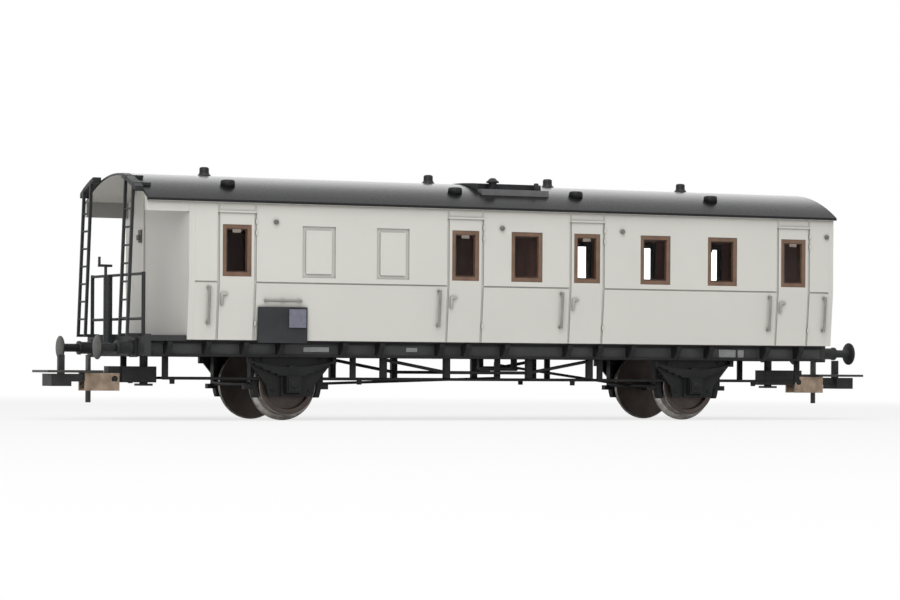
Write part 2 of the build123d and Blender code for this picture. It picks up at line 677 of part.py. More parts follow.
for side, way in SIDES.items():
    plain = section_along_x(skin(way, 0, WALL_T, BODY_BOTTOM, EAVE), wall_left_x, wall_right_x)
    plain += section_along_x(top_strip(way, EAVE), wall_left_x, wall_right_x)
    plain_walls[side] = plain
    wall = plain
    face_y = way * BODY_HALF_WIDTH
    over_y = face_y + way * CUT_OVER
    for offset, width in WINDOWS:
        x = BODY_CENTRE_X + offset
        wall -= block(
            x - width / 2, x + width / 2, over_y, face_y - way * (WALL_T + CUT_OVER),
            WINDOW_BOTTOM, WINDOW_TOP,
        )
    for offset in DOORS:
        x = BODY_CENTRE_X + offset
        for edge in (x - DOOR_WIDTH / 2, x + DOOR_WIDTH / 2):
            groove = skin(way, CUT_OVER, GROOVE_DEPTH, BODY_BOTTOM - CUT_OVER, DOOR_TOP)
            wall -= section_along_x(groove, edge - DOOR_GROOVE / 2, edge + DOOR_GROOVE / 2)
        wall += block(
            x - DOOR_WIDTH / 2, x + DOOR_WIDTH / 2, face_y, face_y + way * DRIP_STRIP_OUT,
            DOOR_TOP, DOOR_TOP + DRIP_STRIP_H,
        )
    centres = sorted([BODY_CENTRE_X + offset for offset in DOORS])
    starts = [wall_left_x] + [x + DOOR_WIDTH / 2 for x in centres]
    stops = [x - DOOR_WIDTH / 2 for x in centres] + [wall_right_x]
    for x0, x1 in zip(starts, stops):
        wall -= block(
            x0, x1, over_y, face_y - way * GROOVE_DEPTH, WAIST - WAIST_GROOVE / 2, WAIST + WAIST_GROOVE / 2
        )
    for offset in BLINDS:
        x = BODY_CENTRE_X + offset
        half = WINDOW_WIDTH / 2
        rim = flat(x - half, x + half, WINDOW_BOTTOM, WINDOW_TOP)
        rim -= flat(
            x - half + BLIND_BORDER, x + half - BLIND_BORDER,
            WINDOW_BOTTOM + BLIND_BORDER, WINDOW_TOP - BLIND_BORDER,
        )
        wall -= along_y(rim, over_y, face_y - way * BLIND_DEPTH)
    parts[f"side_wall_{side}"] = wall

    # Window frames set in the openings, with a clear pane behind each
    frames = []
    panes = []
    pane_y = face_y - way * WALL_T
    seam_y = pane_y + way * PANE_T
    for offset, width in WINDOWS:
        x = BODY_CENTRE_X + offset
        half = width / 2
        rim = flat(x - half, x + half, WINDOW_BOTTOM, WINDOW_TOP)
        rim -= flat(
            x - half + FRAME_SIDE, x + half - FRAME_SIDE, WINDOW_BOTTOM + FRAME_SIDE, WINDOW_TOP - FRAME_SIDE
        )
        frames.append(along_y(rim, face_y - way * FRAME_SET_IN, seam_y))
        panes.append(block(x - half, x + half, seam_y, pane_y, WINDOW_BOTTOM, WINDOW_TOP))
    parts[f"window_frames_{side}"] = Compound(children=frames)
    parts[f"window_panes_{side}"] = Compound(children=panes)

    # Grab rails beside the doors and at the closed corner, thin bars on two posts each
    rails = []
    rail_places = [BODY_CENTRE_X + offset - HANDRAIL_OFFSET for offset in DOORS]
    rail_places.append(BODY_RIGHT_X - CORNER_HANDRAIL_INSET - WALL_T)
    for x in rail_places:
        low_y = way * (wall_y(HANDRAIL_BOTTOM) + HANDRAIL_STAND_OFF)
        high_y = way * (wall_y(HANDRAIL_TOP) + HANDRAIL_STAND_OFF)
        rail = bar((x, low_y, HANDRAIL_BOTTOM), (x, high_y, HANDRAIL_TOP), HANDRAIL_R)
        for z in (HANDRAIL_BOTTOM + HANDRAIL_R, HANDRAIL_TOP - HANDRAIL_R):
            rail += block(
                x - HANDRAIL_R, x + HANDRAIL_R, way * (wall_y(z) - HANDRAIL_R),
                way * (wall_y(z) + HANDRAIL_STAND_OFF), z - HANDRAIL_R, z + HANDRAIL_R,
            )
        rails.append(rail - plain)
    parts[f"grab_rails_{side}"] = Compound(children=rails)

    # Door fittings: a bent lever on each door and a stop for the open door
    fittings = []
    for offset in DOORS:
        x = BODY_CENTRE_X + offset - DOOR_HANDLE_OFFSET
        half = DOOR_HANDLE_SECTION / 2
        low = DOOR_HANDLE_TOP - DOOR_HANDLE_DROP
        layer = skin(way, DOOR_HANDLE_SECTION, 0, low, DOOR_HANDLE_TOP)
        lever = section_along_x(layer, x - half, x + half)
        top = skin(way, DOOR_HANDLE_SECTION, 0, DOOR_HANDLE_TOP - DOOR_HANDLE_SECTION, DOOR_HANDLE_TOP)
        fittings.append(lever + section_along_x(top, x - half, x + DOOR_HANDLE_LEVER))
        x = BODY_CENTRE_X + offset + DOOR_STOP_OFFSET
        stop_end = face_y + way * DOOR_STOP_OUT
        fittings.append(bar((x, face_y, DOOR_STOP_Z), (x, stop_end, DOOR_STOP_Z), DOOR_STOP_R))
    parts[f"door_fittings_{side}"] = Compound(children=fittings)

# Chalk board on the near wall, upright against the leaning panel, with its holder and hand rail
board_x = BODY_CENTRE_X - OUTER_DOOR_OFFSET + BOARD_FROM_DOOR
holder_x = board_x + HOLDER_OFFSET
board_y = -(wall_y(BOARD_TOP) + BOARD_FACE_OUT)
board = block(
    board_x - BOARD_LENGTH / 2, board_x + BOARD_LENGTH / 2, board_y, -wall_y(BODY_BOTTOM),
    BOARD_BOTTOM, BOARD_TOP,
) - plain_walls["near"]
board += block(
    holder_x - HOLDER_SIZE / 2, holder_x + HOLDER_SIZE / 2, board_y - HOLDER_T, board_y,
    HOLDER_CENTRE_Z - HOLDER_SIZE / 2, HOLDER_CENTRE_Z + HOLDER_SIZE / 2,
)
parts["chalk_board"] = board
rail_y = -(wall_y(BOARD_RAIL_Z) + HANDRAIL_STAND_OFF)
rail_stations = [board_x + share * BOARD_RAIL_LENGTH / 2 for share in (-1, 0, 1)]
board_rail = bar(
    (rail_stations[0], rail_y, BOARD_RAIL_Z), (rail_stations[-1], rail_y, BOARD_RAIL_Z), HANDRAIL_R
)
for x in rail_stations:
    board_rail += block(
        x - HANDRAIL_R, x + HANDRAIL_R, rail_y, HANDRAIL_R - wall_y(BOARD_RAIL_Z),
        BOARD_RAIL_Z - HANDRAIL_R, BOARD_RAIL_Z + HANDRAIL_R,
    )
parts["board_rail"] = board_rail - plain_walls["near"]

# Roof: a thin barrel arch with a solid lip along the eaves, outside the walls
hollow = arch_disc(-ROOF_T) & flat(-BODY_HALF_WIDTH, BODY_HALF_WIDTH, EAVE, crown)
roof_section = arch_disc(0) & flat(-ROOF_HALF_WIDTH, ROOF_HALF_WIDTH, EAVE, crown + CUT_OVER)
parts["roof"] = along_x(roof_section - hollow, ROOF_LEFT_X, ROOF_RIGHT_X)

# End wall and bulkhead: cross walls that fill the arch under the roof
half_outline = [(wall_y(BODY_BOTTOM), BODY_BOTTOM), (BODY_HALF_WIDTH, WAIST), (BODY_HALF_WIDTH, EAVE)]
whole_outline = half_outline + [(-y, z) for y, z in reversed(half_outline)]
cross_wall = Polygon(*[(y, RAIL + z) for y, z in whole_outline], align=None) + hollow
parts["end_wall"] = along_x(cross_wall, wall_right_x, BODY_RIGHT_X)
floor_gap = flat(-FLOOR_HALF_WIDTH, FLOOR_HALF_WIDTH, floor_bottom, FLOOR_TOP)
parts["bulkhead"] = along_x(cross_wall - floor_gap, BODY_LEFT_X, wall_left_x)

# Headers over the open platform, in line with the side walls
for side, way in SIDES.items():
    parts[f"header_{side}"] = section_along_x(top_strip(way, HEADER_BOTTOM), ROOF_LEFT_X, BODY_LEFT_X)

# Roof panel over the middle window: a ledge either side and a nearly flat raised top
panel_x = BODY_CENTRE_X + PANEL_OFFSET
panel_left = panel_x - PANEL_LENGTH / 2
panel_right = panel_x + PANEL_LENGTH / 2
panel_r = (PANEL_HALF_WIDTH**2 + PANEL_FALL**2) / (2 * PANEL_FALL)
panel_disc = Pos(0, RAIL + crown + PANEL_OVER_CROWN - panel_r) * Circle(panel_r)
plinth_top = arch_z(PANEL_HALF_WIDTH) + LEDGE_RISE
panel_top = panel_disc & flat(-PANEL_HALF_WIDTH, PANEL_HALF_WIDTH, EAVE, crown + CUT_OVER)
ledge = flat(-PLINTH_HALF_WIDTH, PLINTH_HALF_WIDTH, EAVE, plinth_top)
panel = along_x(panel_top - arch_disc(0), panel_left, panel_right - PANEL_END_STEP)
panel += along_x(ledge - arch_disc(0), panel_left, panel_right)
parts["roof_panel"] = panel

# A brimmed pot and a plain nub on the near ledge of the panel
pot_levels = [(POT_STEM_R, 0), (POT_STEM_R, POT_STEM_H), (POT_BRIM_R, POT_STEM_H)]
pot_levels += [(POT_BRIM_R, POT_STEM_H + POT_BRIM_H), (POT_TOP_R, POT_STEM_H + POT_BRIM_H + POT_TOP_H)]
ledge_y = -(PLINTH_HALF_WIDTH + PANEL_HALF_WIDTH) / 2
pot = Pos(panel_x + POT_OFFSET, ledge_y, RAIL + plinth_top) * turned(pot_levels)
nub = Pos(panel_x + NUB_OFFSET, ledge_y, RAIL + plinth_top) * turned([(NUB_R, 0), (NUB_R, NUB_H)])
parts["roof_pot"] = Compound(children=[pot, nub])

# Roof vents: tall ones with a flared foot along the ridge, low drums on both slopes
ridge_vent = turned([
    (RIDGE_VENT_FOOT_R, -VENT_SEAT),
    (RIDGE_VENT_FOOT_R, RIDGE_VENT_FOOT_H),
    (RIDGE_VENT_R, RIDGE_VENT_NECK_H),
    (RIDGE_VENT_R, RIDGE_VENT_RIM_H),
    (RIDGE_VENT_TOP_R, RIDGE_VENT_H),
])
side_vent = turned([
    (SIDE_VENT_R, -VENT_SEAT),
    (SIDE_VENT_R, SIDE_VENT_RIM_H),
    (SIDE_VENT_TOP_R, SIDE_VENT_H),
])
vent_rows = [(-VENT_SIDE_Y, side_vent), (0.0, ridge_vent), (VENT_SIDE_Y, side_vent)]
under_roof = along_x(roof_section, ROOF_LEFT_X, ROOF_RIGHT_X)
vents = []
for offset in (-OUTER_DOOR_OFFSET, -INNER_DOOR_OFFSET, INNER_DOOR_OFFSET, OUTER_WINDOW_OFFSET):
    for y, vent in vent_rows:
        vents.append(Pos(BODY_CENTRE_X + offset, y, RAIL + arch_z(y)) * vent - under_roof)
parts["roof_vents"] = Compound(children=vents)

# Inside: a steel weight on the floor and a moulded insert with two cross partitions
weight_half = WEIGHT_LENGTH / 2
weight_top = FLOOR_TOP + WEIGHT_T
parts["weight"] = block(
    BODY_CENTRE_X - weight_half, BODY_CENTRE_X + weight_half, -WEIGHT_HALF_WIDTH, WEIGHT_HALF_WIDTH,
    FLOOR_TOP, weight_top,
)
insert_top = weight_top + INSERT_T
insert = block(
    wall_left_x + INSERT_END_GAP, wall_right_x - INSERT_END_GAP, -INSERT_HALF_WIDTH, INSERT_HALF_WIDTH,
    weight_top, insert_top,
)
for way in (-1, 1):
    x = BODY_CENTRE_X + way * PARTITION_OFFSET
    insert += block(
        x - PARTITION_T / 2, x + PARTITION_T / 2, -INSERT_HALF_WIDTH, INSERT_HALF_WIDTH,
        insert_top, PARTITION_TOP,
    )
parts["interior"] = insert


# Buffers: a square base, a sleeve, a thinner shank and a flat round head
def buffer():
    foot = HEADSTOCK_FACE_X
    face = foot + BUFFER_LENGTH
    head_back = face - BUFFER_HEAD_T
    half = BUFFER_BASE / 2
    body = block(foot, foot + BUFFER_BASE_T, -half, half, BUFFER_Z - half, BUFFER_Z + half)
    body += bar(
        (foot, 0, BUFFER_Z), (foot + BUFFER_SLEEVE_LENGTH, 0, BUFFER_Z), BUFFER_SLEEVE_R, SLEEVE_SIDES
    )
    body += bar((foot, 0, BUFFER_Z), (face - BUFFER_HEAD_T / 2, 0, BUFFER_Z), BUFFER_SHANK_R)
    body += rod((head_back, 0, BUFFER_Z), (face, 0, BUFFER_Z), BUFFER_HEAD_R)
    return body


right_buffer = buffer()
buffers = {"left": mirror(right_buffer, Plane.YZ), "right": right_buffer}
for side, way in SIDES.items():
    for end, shape in buffers.items():
        parts[f"buffer_{end}_{side}"] = Pos(0, way * BUFFER_Y, 0) * shape

# Couplings: a drawbar on a pin under the floor, a head with a hook, and a metal loop that lifts on a rivet
pivot_x = HEADSTOCK_FACE_X + COUPLER_PIVOT_OUT
drawbar_end = HEADSTOCK_FACE_X + DRAWBAR_END_OUT
loop_pivot_x = HEADSTOCK_FACE_X + LOOP_PIVOT_OUT
cheek_end = HEADSTOCK_FACE_X + LOOP_CHEEK_END_OUT
loop_front = HEADSTOCK_FACE_X + LOOP_FRONT_OUT
cheek_inner_y = SHANK_HALF_WIDTH + COUPLER_CLEARANCE
cheek_outer_y = cheek_inner_y + LOOP_CHEEK_T


def coupler_seat():
    foot_top = DRAWBAR_BOTTOM - COUPLER_CLEARANCE
    foot_bottom = foot_top - PIVOT_FOOT_T
    half = PIVOT_FOOT / 2
    seat = rod((pivot_x, 0, foot_bottom), (pivot_x, 0, floor_bottom), COUPLER_PIVOT_R)
    return seat + block(pivot_x - half, pivot_x + half, -half, half, foot_bottom, foot_top)


def drawbar():
    start = HEADSTOCK_FACE_X + DRAWBAR_START_OUT
    body = block(start, drawbar_end, -DRAWBAR_HALF_WIDTH, DRAWBAR_HALF_WIDTH, DRAWBAR_BOTTOM, DRAWBAR_TOP)
    eye_r = COUPLER_PIVOT_R + COUPLER_CLEARANCE
    return body - bar((pivot_x, 0, DRAWBAR_BOTTOM), (pivot_x, 0, DRAWBAR_TOP), eye_r)


def coupler_head():
    neck_end = HEADSTOCK_FACE_X + NECK_END_OUT
    back = HEADSTOCK_FACE_X + HEAD_BACK_OUT
    front = HEADSTOCK_FACE_X + HEAD_FRONT_OUT
    hook_x = HEADSTOCK_FACE_X + HOOK_OUT
    half = SHANK_HALF_WIDTH
    head = block(drawbar_end, back, -half, half, SHANK_BOTTOM, SHANK_TOP)
    head += block(drawbar_end, neck_end, -half, half, SHANK_BOTTOM, DRAWBAR_TOP)
    head += block(back, front, -HEAD_HALF_WIDTH, HEAD_HALF_WIDTH, HEAD_BOTTOM, SHANK_TOP)
    head += block(
        hook_x - HOOK_T / 2, hook_x + HOOK_T / 2, -HOOK_HALF_WIDTH, HOOK_HALF_WIDTH, SHANK_TOP, HOOK_TOP
    )
    rivet_ends = [(loop_pivot_x, way * cheek_outer_y, LOOP_PIVOT_Z) for way in (-1, 1)]
    return head + rod(*rivet_ends, LOOP_PIVOT_R)


def coupler_loop():
    plate_top = LOOP_PLATE_BOTTOM + LOOP_T
    plate_start = HEADSTOCK_FACE_X + LOOP_PLATE_OUT
    loop = block(plate_start, loop_front, -LOOP_HALF_WIDTH, LOOP_HALF_WIDTH, LOOP_PLATE_BOTTOM, plate_top)
    loop -= block(
        cheek_end, loop_front - LOOP_BAR, LOOP_BAR - LOOP_HALF_WIDTH, LOOP_HALF_WIDTH - LOOP_BAR,
        LOOP_PLATE_BOTTOM, plate_top,
    )
    for way in (-1, 1):
        cheek = block(
            loop_pivot_x - LOOP_CHEEK_BACK, cheek_end, way * cheek_inner_y, way * cheek_outer_y,
            LOOP_CHEEK_BOTTOM, LOOP_PLATE_BOTTOM,
        )
        eye = [(loop_pivot_x, way * y, LOOP_PIVOT_Z) for y in (cheek_inner_y, cheek_outer_y)]
        loop += cheek - bar(*eye, LOOP_PIVOT_R + COUPLER_CLEARANCE / 2)
    pin_x = cheek_end - LIFT_PIN_INSET
    loop += block(
        pin_x - LIFT_PIN_R, pin_x + LIFT_PIN_R, -cheek_outer_y, cheek_outer_y,
        LOOP_CHEEK_BOTTOM, LOOP_CHEEK_BOTTOM + LOOP_CHEEK_T,
    )
    loop += bar((pin_x, 0, LIFT_PIN_BOTTOM), (pin_x, 0, LOOP_CHEEK_BOTTOM), LIFT_PIN_R)
    loop += block(
        pin_x - LOOP_TAB_T / 2, pin_x + LOOP_TAB_T / 2, -LOOP_TAB_T, LOOP_TAB_T,
        plate_top, LOOP_TAB_TOP,
    )
    return loop


right_coupling = {
    "coupler_seat": coupler_seat(),
    "drawbar": drawbar(),
    "coupler_head": coupler_head(),
    "coupler_loop": coupler_loop(),
}
for name, shape in right_coupling.items():
    parts[f"{name}_right"] = shape
    parts[f"{name}_left"] = Rot(0, 0, 180) * shape

# Platform railing across the end
railing_x = RAILING_INSET - HEADSTOCK_FACE_X
railing = None
for z in (RAILING_TOP, RAILING_MID):
    cross_bar = bar((railing_x, -RAILING_POST_Y, z), (railing_x, RAILING_POST_Y, z), RAILING_BAR_R)
    railing = cross_bar if railing is None else railing + cross_bar
for way in (-1, 1):
    y = way * RAILING_POST_Y
    post_top = RAILING_TOP + RAILING_POST_R
    railing += bar((railing_x, y, HEADSTOCK_TOP), (railing_x, y, post_top), RAILING_POST_R)
parts["railing"] = railing

# Roof ladders: two flat rails with rungs, standing off the headstock, hooked over the roof end
# and tied at the head by a plate bent to the arch
ladder_foot_x = -HEADSTOCK_FACE_X - LADDER_FOOT_OUT
ladder_head_x = -HEADSTOCK_FACE_X - LADDER_HEAD_OUT
ladder_head_z = arch_z(LADDER_OUTER_Y) - LADDER_TOP_ROOM
rung_count = int((ladder_head_z - LADDER_FIRST_RUNG) // LADDER_RUNG_PITCH) + 1
half = LADDER_RAIL / 2
for side, way in SIDES.items():
    ladder = None
    for y in (LADDER_INNER_Y, LADDER_OUTER_Y):
        rail_low, rail_high = sorted((way * y - half, way * y + half))
        hook_z = arch_z(y)
        outline = [
            (ladder_foot_x - half, LADDER_FOOT_Z),
            (ladder_foot_x + half, LADDER_FOOT_Z),
            (ladder_head_x + half, hook_z),
            (ROOF_LEFT_X + LADDER_HOOK_LENGTH, hook_z),
            (ROOF_LEFT_X + LADDER_HOOK_LENGTH, hook_z + LADDER_RAIL),
            (ladder_head_x - half, hook_z + LADDER_RAIL),
        ]
        rail = along_y(Polygon(*[(x, RAIL + z) for x, z in outline], align=None), rail_low, rail_high)
        rail += block(
            ladder_foot_x, -HEADSTOCK_FACE_X, rail_low, rail_high, LADDER_FOOT_Z, LADDER_FOOT_Z + LADDER_RAIL
        )
        ladder = rail if ladder is None else ladder + rail
    for step in range(rung_count):
        z = LADDER_FIRST_RUNG + step * LADDER_RUNG_PITCH
        climbed = (z - LADDER_FOOT_Z) / (arch_z(LADDER_OUTER_Y) - LADDER_FOOT_Z)
        x = ladder_foot_x + climbed * (ladder_head_x - ladder_foot_x)
        ladder += block(
            x - LADDER_RUNG / 2, x + LADDER_RUNG / 2, way * LADDER_INNER_Y, way * LADDER_OUTER_Y,
            z - LADDER_RUNG / 2, z + LADDER_RUNG / 2,
        )
    plate_inner = way * (LADDER_INNER_Y - LADDER_PLATE_MARGIN)
    plate_outer = way * (LADDER_OUTER_Y + LADDER_PLATE_MARGIN)
    strip = arch_disc(LADDER_PLATE_OVER) - arch_disc(-LADDER_PLATE_UNDER)
    strip &= flat(*sorted((plate_inner, plate_outer)), EAVE, crown)
    ladder += along_x(strip, ladder_head_x - half, ROOF_LEFT_X)
    parts[f"ladder_{side}"] = ladder - parts["roof"]

# Hand brake: a column with a spindle beside it and a crank on top, on the headstock
column_x = -HEADSTOCK_FACE_X - COLUMN_OUT
spindle_x = column_x - SPINDLE_SHIFT
column = bar((column_x, COLUMN_Y, COLUMN_BOTTOM), (column_x, COLUMN_Y, COLUMN_TOP), COLUMN_R)
column += bar((spindle_x, COLUMN_Y, COLUMN_TOP), (spindle_x, COLUMN_Y, CRANK_Z), SPINDLE_R)
half = CRANK_SECTION / 2
column += block(
    spindle_x - CRANK_ARM - half, spindle_x + CRANK_COUNTER, COLUMN_Y - half, COLUMN_Y + half,
    CRANK_Z - half, CRANK_Z + half,
)
grip_x = spindle_x - CRANK_ARM
column += bar((grip_x, COLUMN_Y, CRANK_Z), (grip_x, COLUMN_Y, CRANK_Z + CRANK_GRIP), half)
column += block(
    column_x, -HEADSTOCK_FACE_X, COLUMN_Y - COLUMN_R, COLUMN_Y + COLUMN_R, COLUMN_BOTTOM, HEADSTOCK_TOP
)
parts["brake_column"] = column

os.makedirs("parts", exist_ok=True)
for name, shape in parts.items():
    export_step(shape, f"parts/{name}.step")
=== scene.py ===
import math

import bpy
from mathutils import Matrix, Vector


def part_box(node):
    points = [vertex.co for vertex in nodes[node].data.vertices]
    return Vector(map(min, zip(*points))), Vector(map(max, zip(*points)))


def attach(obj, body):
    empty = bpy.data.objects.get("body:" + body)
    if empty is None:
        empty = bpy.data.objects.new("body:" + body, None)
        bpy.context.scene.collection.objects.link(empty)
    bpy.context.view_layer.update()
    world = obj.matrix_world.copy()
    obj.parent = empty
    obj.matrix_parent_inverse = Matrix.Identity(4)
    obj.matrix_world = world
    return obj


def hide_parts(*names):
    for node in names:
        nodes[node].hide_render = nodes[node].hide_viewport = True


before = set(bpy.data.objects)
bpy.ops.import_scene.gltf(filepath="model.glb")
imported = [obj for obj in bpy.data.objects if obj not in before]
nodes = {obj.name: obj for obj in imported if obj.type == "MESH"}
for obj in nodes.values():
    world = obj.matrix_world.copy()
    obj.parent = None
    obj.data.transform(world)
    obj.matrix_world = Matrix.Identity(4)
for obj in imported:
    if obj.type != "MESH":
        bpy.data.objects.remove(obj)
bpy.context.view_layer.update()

# Wheelsets
# Two turned metal disc wheels are pressed on each steel axle, whose thin ends run in the guards.
# The discs are chemically browned; tread and flange are bare metal, dulled by use.
MM = 0.001
SIDES = {"near": -1, "far": 1}
ENDS = {"left": -1, "right": 1}


def new_material(name):
    """Empty node material with its shader."""
    material = bpy.data.materials.new(name)
    material.use_nodes = True
    tree = material.node_tree
    return material, tree, tree.nodes["Principled BSDF"]


def noise(tree, size, detail=3.0):
    """Noise in the object's own space whose blotches are about size millimetres across."""
    place = tree.nodes.new("ShaderNodeTexCoord")
    cloud = tree.nodes.new("ShaderNodeTexNoise")
    cloud.inputs["Scale"].default_value = 1.0 / (size * MM)
    cloud.inputs["Detail"].default_value = detail
    tree.links.new(place.outputs["Object"], cloud.inputs["Vector"])
    return cloud.outputs["Fac"]


NOISE_LOW, NOISE_HIGH = 0.3, 0.7


def tinted(tree, value, *colours):
    """Colour between stops spread evenly over the range that noise covers."""
    stops = tree.nodes.new("ShaderNodeValToRGB")
    band = stops.color_ramp
    for index, colour in enumerate(colours):
        share = NOISE_LOW + (NOISE_HIGH - NOISE_LOW) * index / (len(colours) - 1)
        stop = band.elements[index] if index < 2 else band.elements.new(share)
        stop.position = share
        stop.color = (*colour, 1.0)
    tree.links.new(value, stops.inputs["Fac"])
    return stops.outputs["Color"]


def spread(tree, value, low, high):
    """Noise brought to a range."""
    fit = tree.nodes.new("ShaderNodeMapRange")
    fit.inputs["From Min"].default_value = NOISE_LOW
    fit.inputs["From Max"].default_value = NOISE_HIGH
    fit.inputs["To Min"].default_value = low
    fit.inputs["To Max"].default_value = high
    tree.links.new(value, fit.inputs["Value"])
    return fit.outputs["Result"]


def shade(colour, share):
    """Colour made darker or lighter."""
    return tuple(channel * share for channel in colour)


def coated_finish(name, colour, blotch, grain, roughness, depth, darkest=0.9, metallic=0.0, sheen=0.5):
    """Painted, moulded or plated finish: slow colour drift, fine grain in gloss and relief."""
    material, tree, shader = new_material(name)
    fine = noise(tree, grain, detail=2.0)
    drift = tinted(tree, noise(tree, blotch), shade(colour, darkest), colour, shade(colour, 2.0 - darkest))
    relief = tree.nodes.new("ShaderNodeBump")
    relief.inputs["Distance"].default_value = depth * MM
    tree.links.new(fine, relief.inputs["Height"])
    tree.links.new(relief.outputs["Normal"], shader.inputs["Normal"])
    tree.links.new(drift, shader.inputs["Base Color"])
    tree.links.new(spread(tree, fine, *roughness), shader.inputs["Roughness"])
    shader.inputs["Metallic"].default_value = metallic
    shader.inputs["Specular IOR Level"].default_value = sheen
    return material


def choose(piece):
    """Makes a piece the only one selected, and the active one."""
    bpy.ops.object.select_all(action="DESELECT")
    piece.select_set(True)
    bpy.context.view_layer.objects.active = piece


RING_MERGE = 0.001


def lathe(name, profile, sides, solid=True):
    """Turned piece on the Z axis: a ring drawn out through rows of radius and height in mm."""
    radius, height = profile[0]
    bpy.ops.object.select_all(action="DESELECT")
    bpy.ops.mesh.primitive_circle_add(
        vertices=sides, radius=radius * MM, fill_type="NGON" if solid else "NOTHING",
        location=(0, 0, height * MM),
    )
    piece = bpy.context.object
    piece.name = name
    bpy.ops.object.transform_apply(location=True, rotation=True, scale=True)
    bpy.ops.object.mode_set(mode="EDIT")
    bpy.ops.mesh.select_all(action="SELECT")
    for next_radius, next_height in profile[1:]:
        rise = (next_height - height) * MM
        bpy.ops.mesh.extrude_region_move(TRANSFORM_OT_translate={"value": (0, 0, rise)})
        grow = next_radius / radius
        bpy.ops.transform.resize(value=(grow, grow, 1), center_override=(0, 0, next_height * MM))
        radius, height = next_radius, next_height
    bpy.ops.mesh.select_all(action="SELECT")
    bpy.ops.mesh.remove_doubles(threshold=RING_MERGE * MM)
    bpy.ops.mesh.normals_make_consistent(inside=False)
    bpy.ops.object.mode_set(mode="OBJECT")
    return piece


EDGE_ANGLE, EDGE_STEPS = 40, 2


def ease(piece, width, angle=EDGE_ANGLE):
    """Rounds sharp edges by a width in mm and smooths the shading of what lies between."""
    choose(piece)
    rounding = piece.modifiers.new("rounding", "BEVEL")
    rounding.width = width * MM
    rounding.segments = EDGE_STEPS
    rounding.limit_method = "ANGLE"
    rounding.angle_limit = math.radians(angle)
    bpy.ops.object.modifier_apply(modifier=rounding.name)
    bpy.ops.object.shade_smooth_by_angle(angle=math.radians(angle))
    flat_faces = piece.modifiers.new("flat_faces", "WEIGHTED_NORMAL")
    flat_faces.keep_sharp = True
    bpy.ops.object.modifier_apply(modifier=flat_faces.name)
    return piece


def set_in(piece, place, turn=(0, 0, 0)):
    """Turns a piece by degrees and sets it at a place in mm, both kept in its mesh."""
    piece.location = [value * MM for value in place]
    piece.rotation_euler = [math.radians(value) for value in turn]
    choose(piece)
    bpy.ops.object.transform_apply(location=True, rotation=True, scale=True)
    return piece


def twin(pattern):
    """Copy of a pattern with its own mesh."""
    copy = pattern.copy()
    copy.data = pattern.data.copy()
    bpy.context.scene.collection.objects.link(copy)
    return copy


def unite(name, pieces):
    """Joins pieces in one mesh."""
    choose(pieces[0])
    for piece in pieces:
        piece.select_set(True)
    bpy.ops.object.join()
    pieces[0].name = name
    return pieces[0]


def put_away(*patterns):
    """Removes patterns once all their copies are made."""
    for pattern in patterns:
        bpy.data.objects.remove(pattern)


def mount(piece, finishes, body, slot, *replaced):
    """Gives a piece its finishes and fixes it to a body, in place of the solids it stands for."""
    piece.data.materials.clear()
    for finish in finishes:
        piece.data.materials.append(finish)
    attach(piece, body)
    if replaced:
        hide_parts(*replaced)
    return piece


AXLE_X, AXLE_Z = 41.65, 6.5
# Rows: radius, distance from the middle of the axle
WHEEL_PROFILE = (
    (1.0, 7.2), (6.3, 7.2), (6.5, 7.4), (6.5, 7.6), (6.3, 7.85), (5.62, 8.0), (5.5, 8.2),
    (5.5, 10.0), (4.5, 10.0), (4.4, 9.1), (2.3, 9.1), (2.1, 10.0), (1.0, 10.0), (1.0, 7.2),
)
AXLE_PROFILE = (
    (0.35, -12.3), (0.45, -12.15), (0.45, -10.02), (1.0, -10.02), (1.0, 10.02), (0.45, 10.02),
    (0.45, 12.15), (0.35, 12.3),
)
BRIGHT_FROM = 5.0
WHEEL_SIDES, AXLE_SIDES, WHEELSET_EDGE = 72, 40, 0.05
browned_metal = coated_finish(
    "browned_metal", (0.075, 0.058, 0.051), blotch=3, grain=0.12, roughness=(0.34, 0.55), depth=0.004,
    darkest=0.7, metallic=0.5,
)
bright_metal = coated_finish(
    "bright_metal", (0.46, 0.44, 0.41), blotch=1.2, grain=0.06, roughness=(0.24, 0.42), depth=0.003,
    darkest=0.72, metallic=1.0,
)
axle_steel = coated_finish(
    "axle_steel", (0.3, 0.29, 0.28), blotch=2, grain=0.1, roughness=(0.28, 0.45), depth=0.002,
    darkest=0.8, metallic=1.0,
)
disc_pattern = ease(lathe("disc", WHEEL_PROFILE, WHEEL_SIDES, solid=False), WHEELSET_EDGE)
axle_pattern = ease(lathe("axle", AXLE_PROFILE, AXLE_SIDES), WHEELSET_EDGE)
for end, hand in ENDS.items():
    centre = (hand * AXLE_X, 0, AXLE_Z)
    discs = [set_in(twin(disc_pattern), centre, (-90 * way, 0, 0)) for way in SIDES.values()]
    wheels = unite(f"wheel_pair_{end}", discs)
    mount(wheels, (browned_metal, bright_metal), f"wheelset_{end}", "wheel", f"wheels_{end}")
    for face in wheels.data.polygons:
        from_axle = math.hypot(face.center.x - centre[0] * MM, face.center.z - AXLE_Z * MM)
        face.material_index = int(from_axle > BRIGHT_FROM * MM)
    axle = set_in(twin(axle_pattern), centre, (-90, 0, 0))
    axle.name = f"axle_turned_{end}"
    mount(axle, (axle_steel,), f"wheelset_{end}", "axle_steel", f"axle_{end}")
put_away(disc_pattern, axle_pattern)

# Underframe
# One dark grey moulding: floor, channel sole bars and headstocks. The web of the sole bars is
# painted a lighter grey as painted light, and their consoles and flanges near black as painted shade.
# Small bare pale plates are set on the near bar.
CORNER_MERGE, FLAT_WITHIN = 0.002, 1


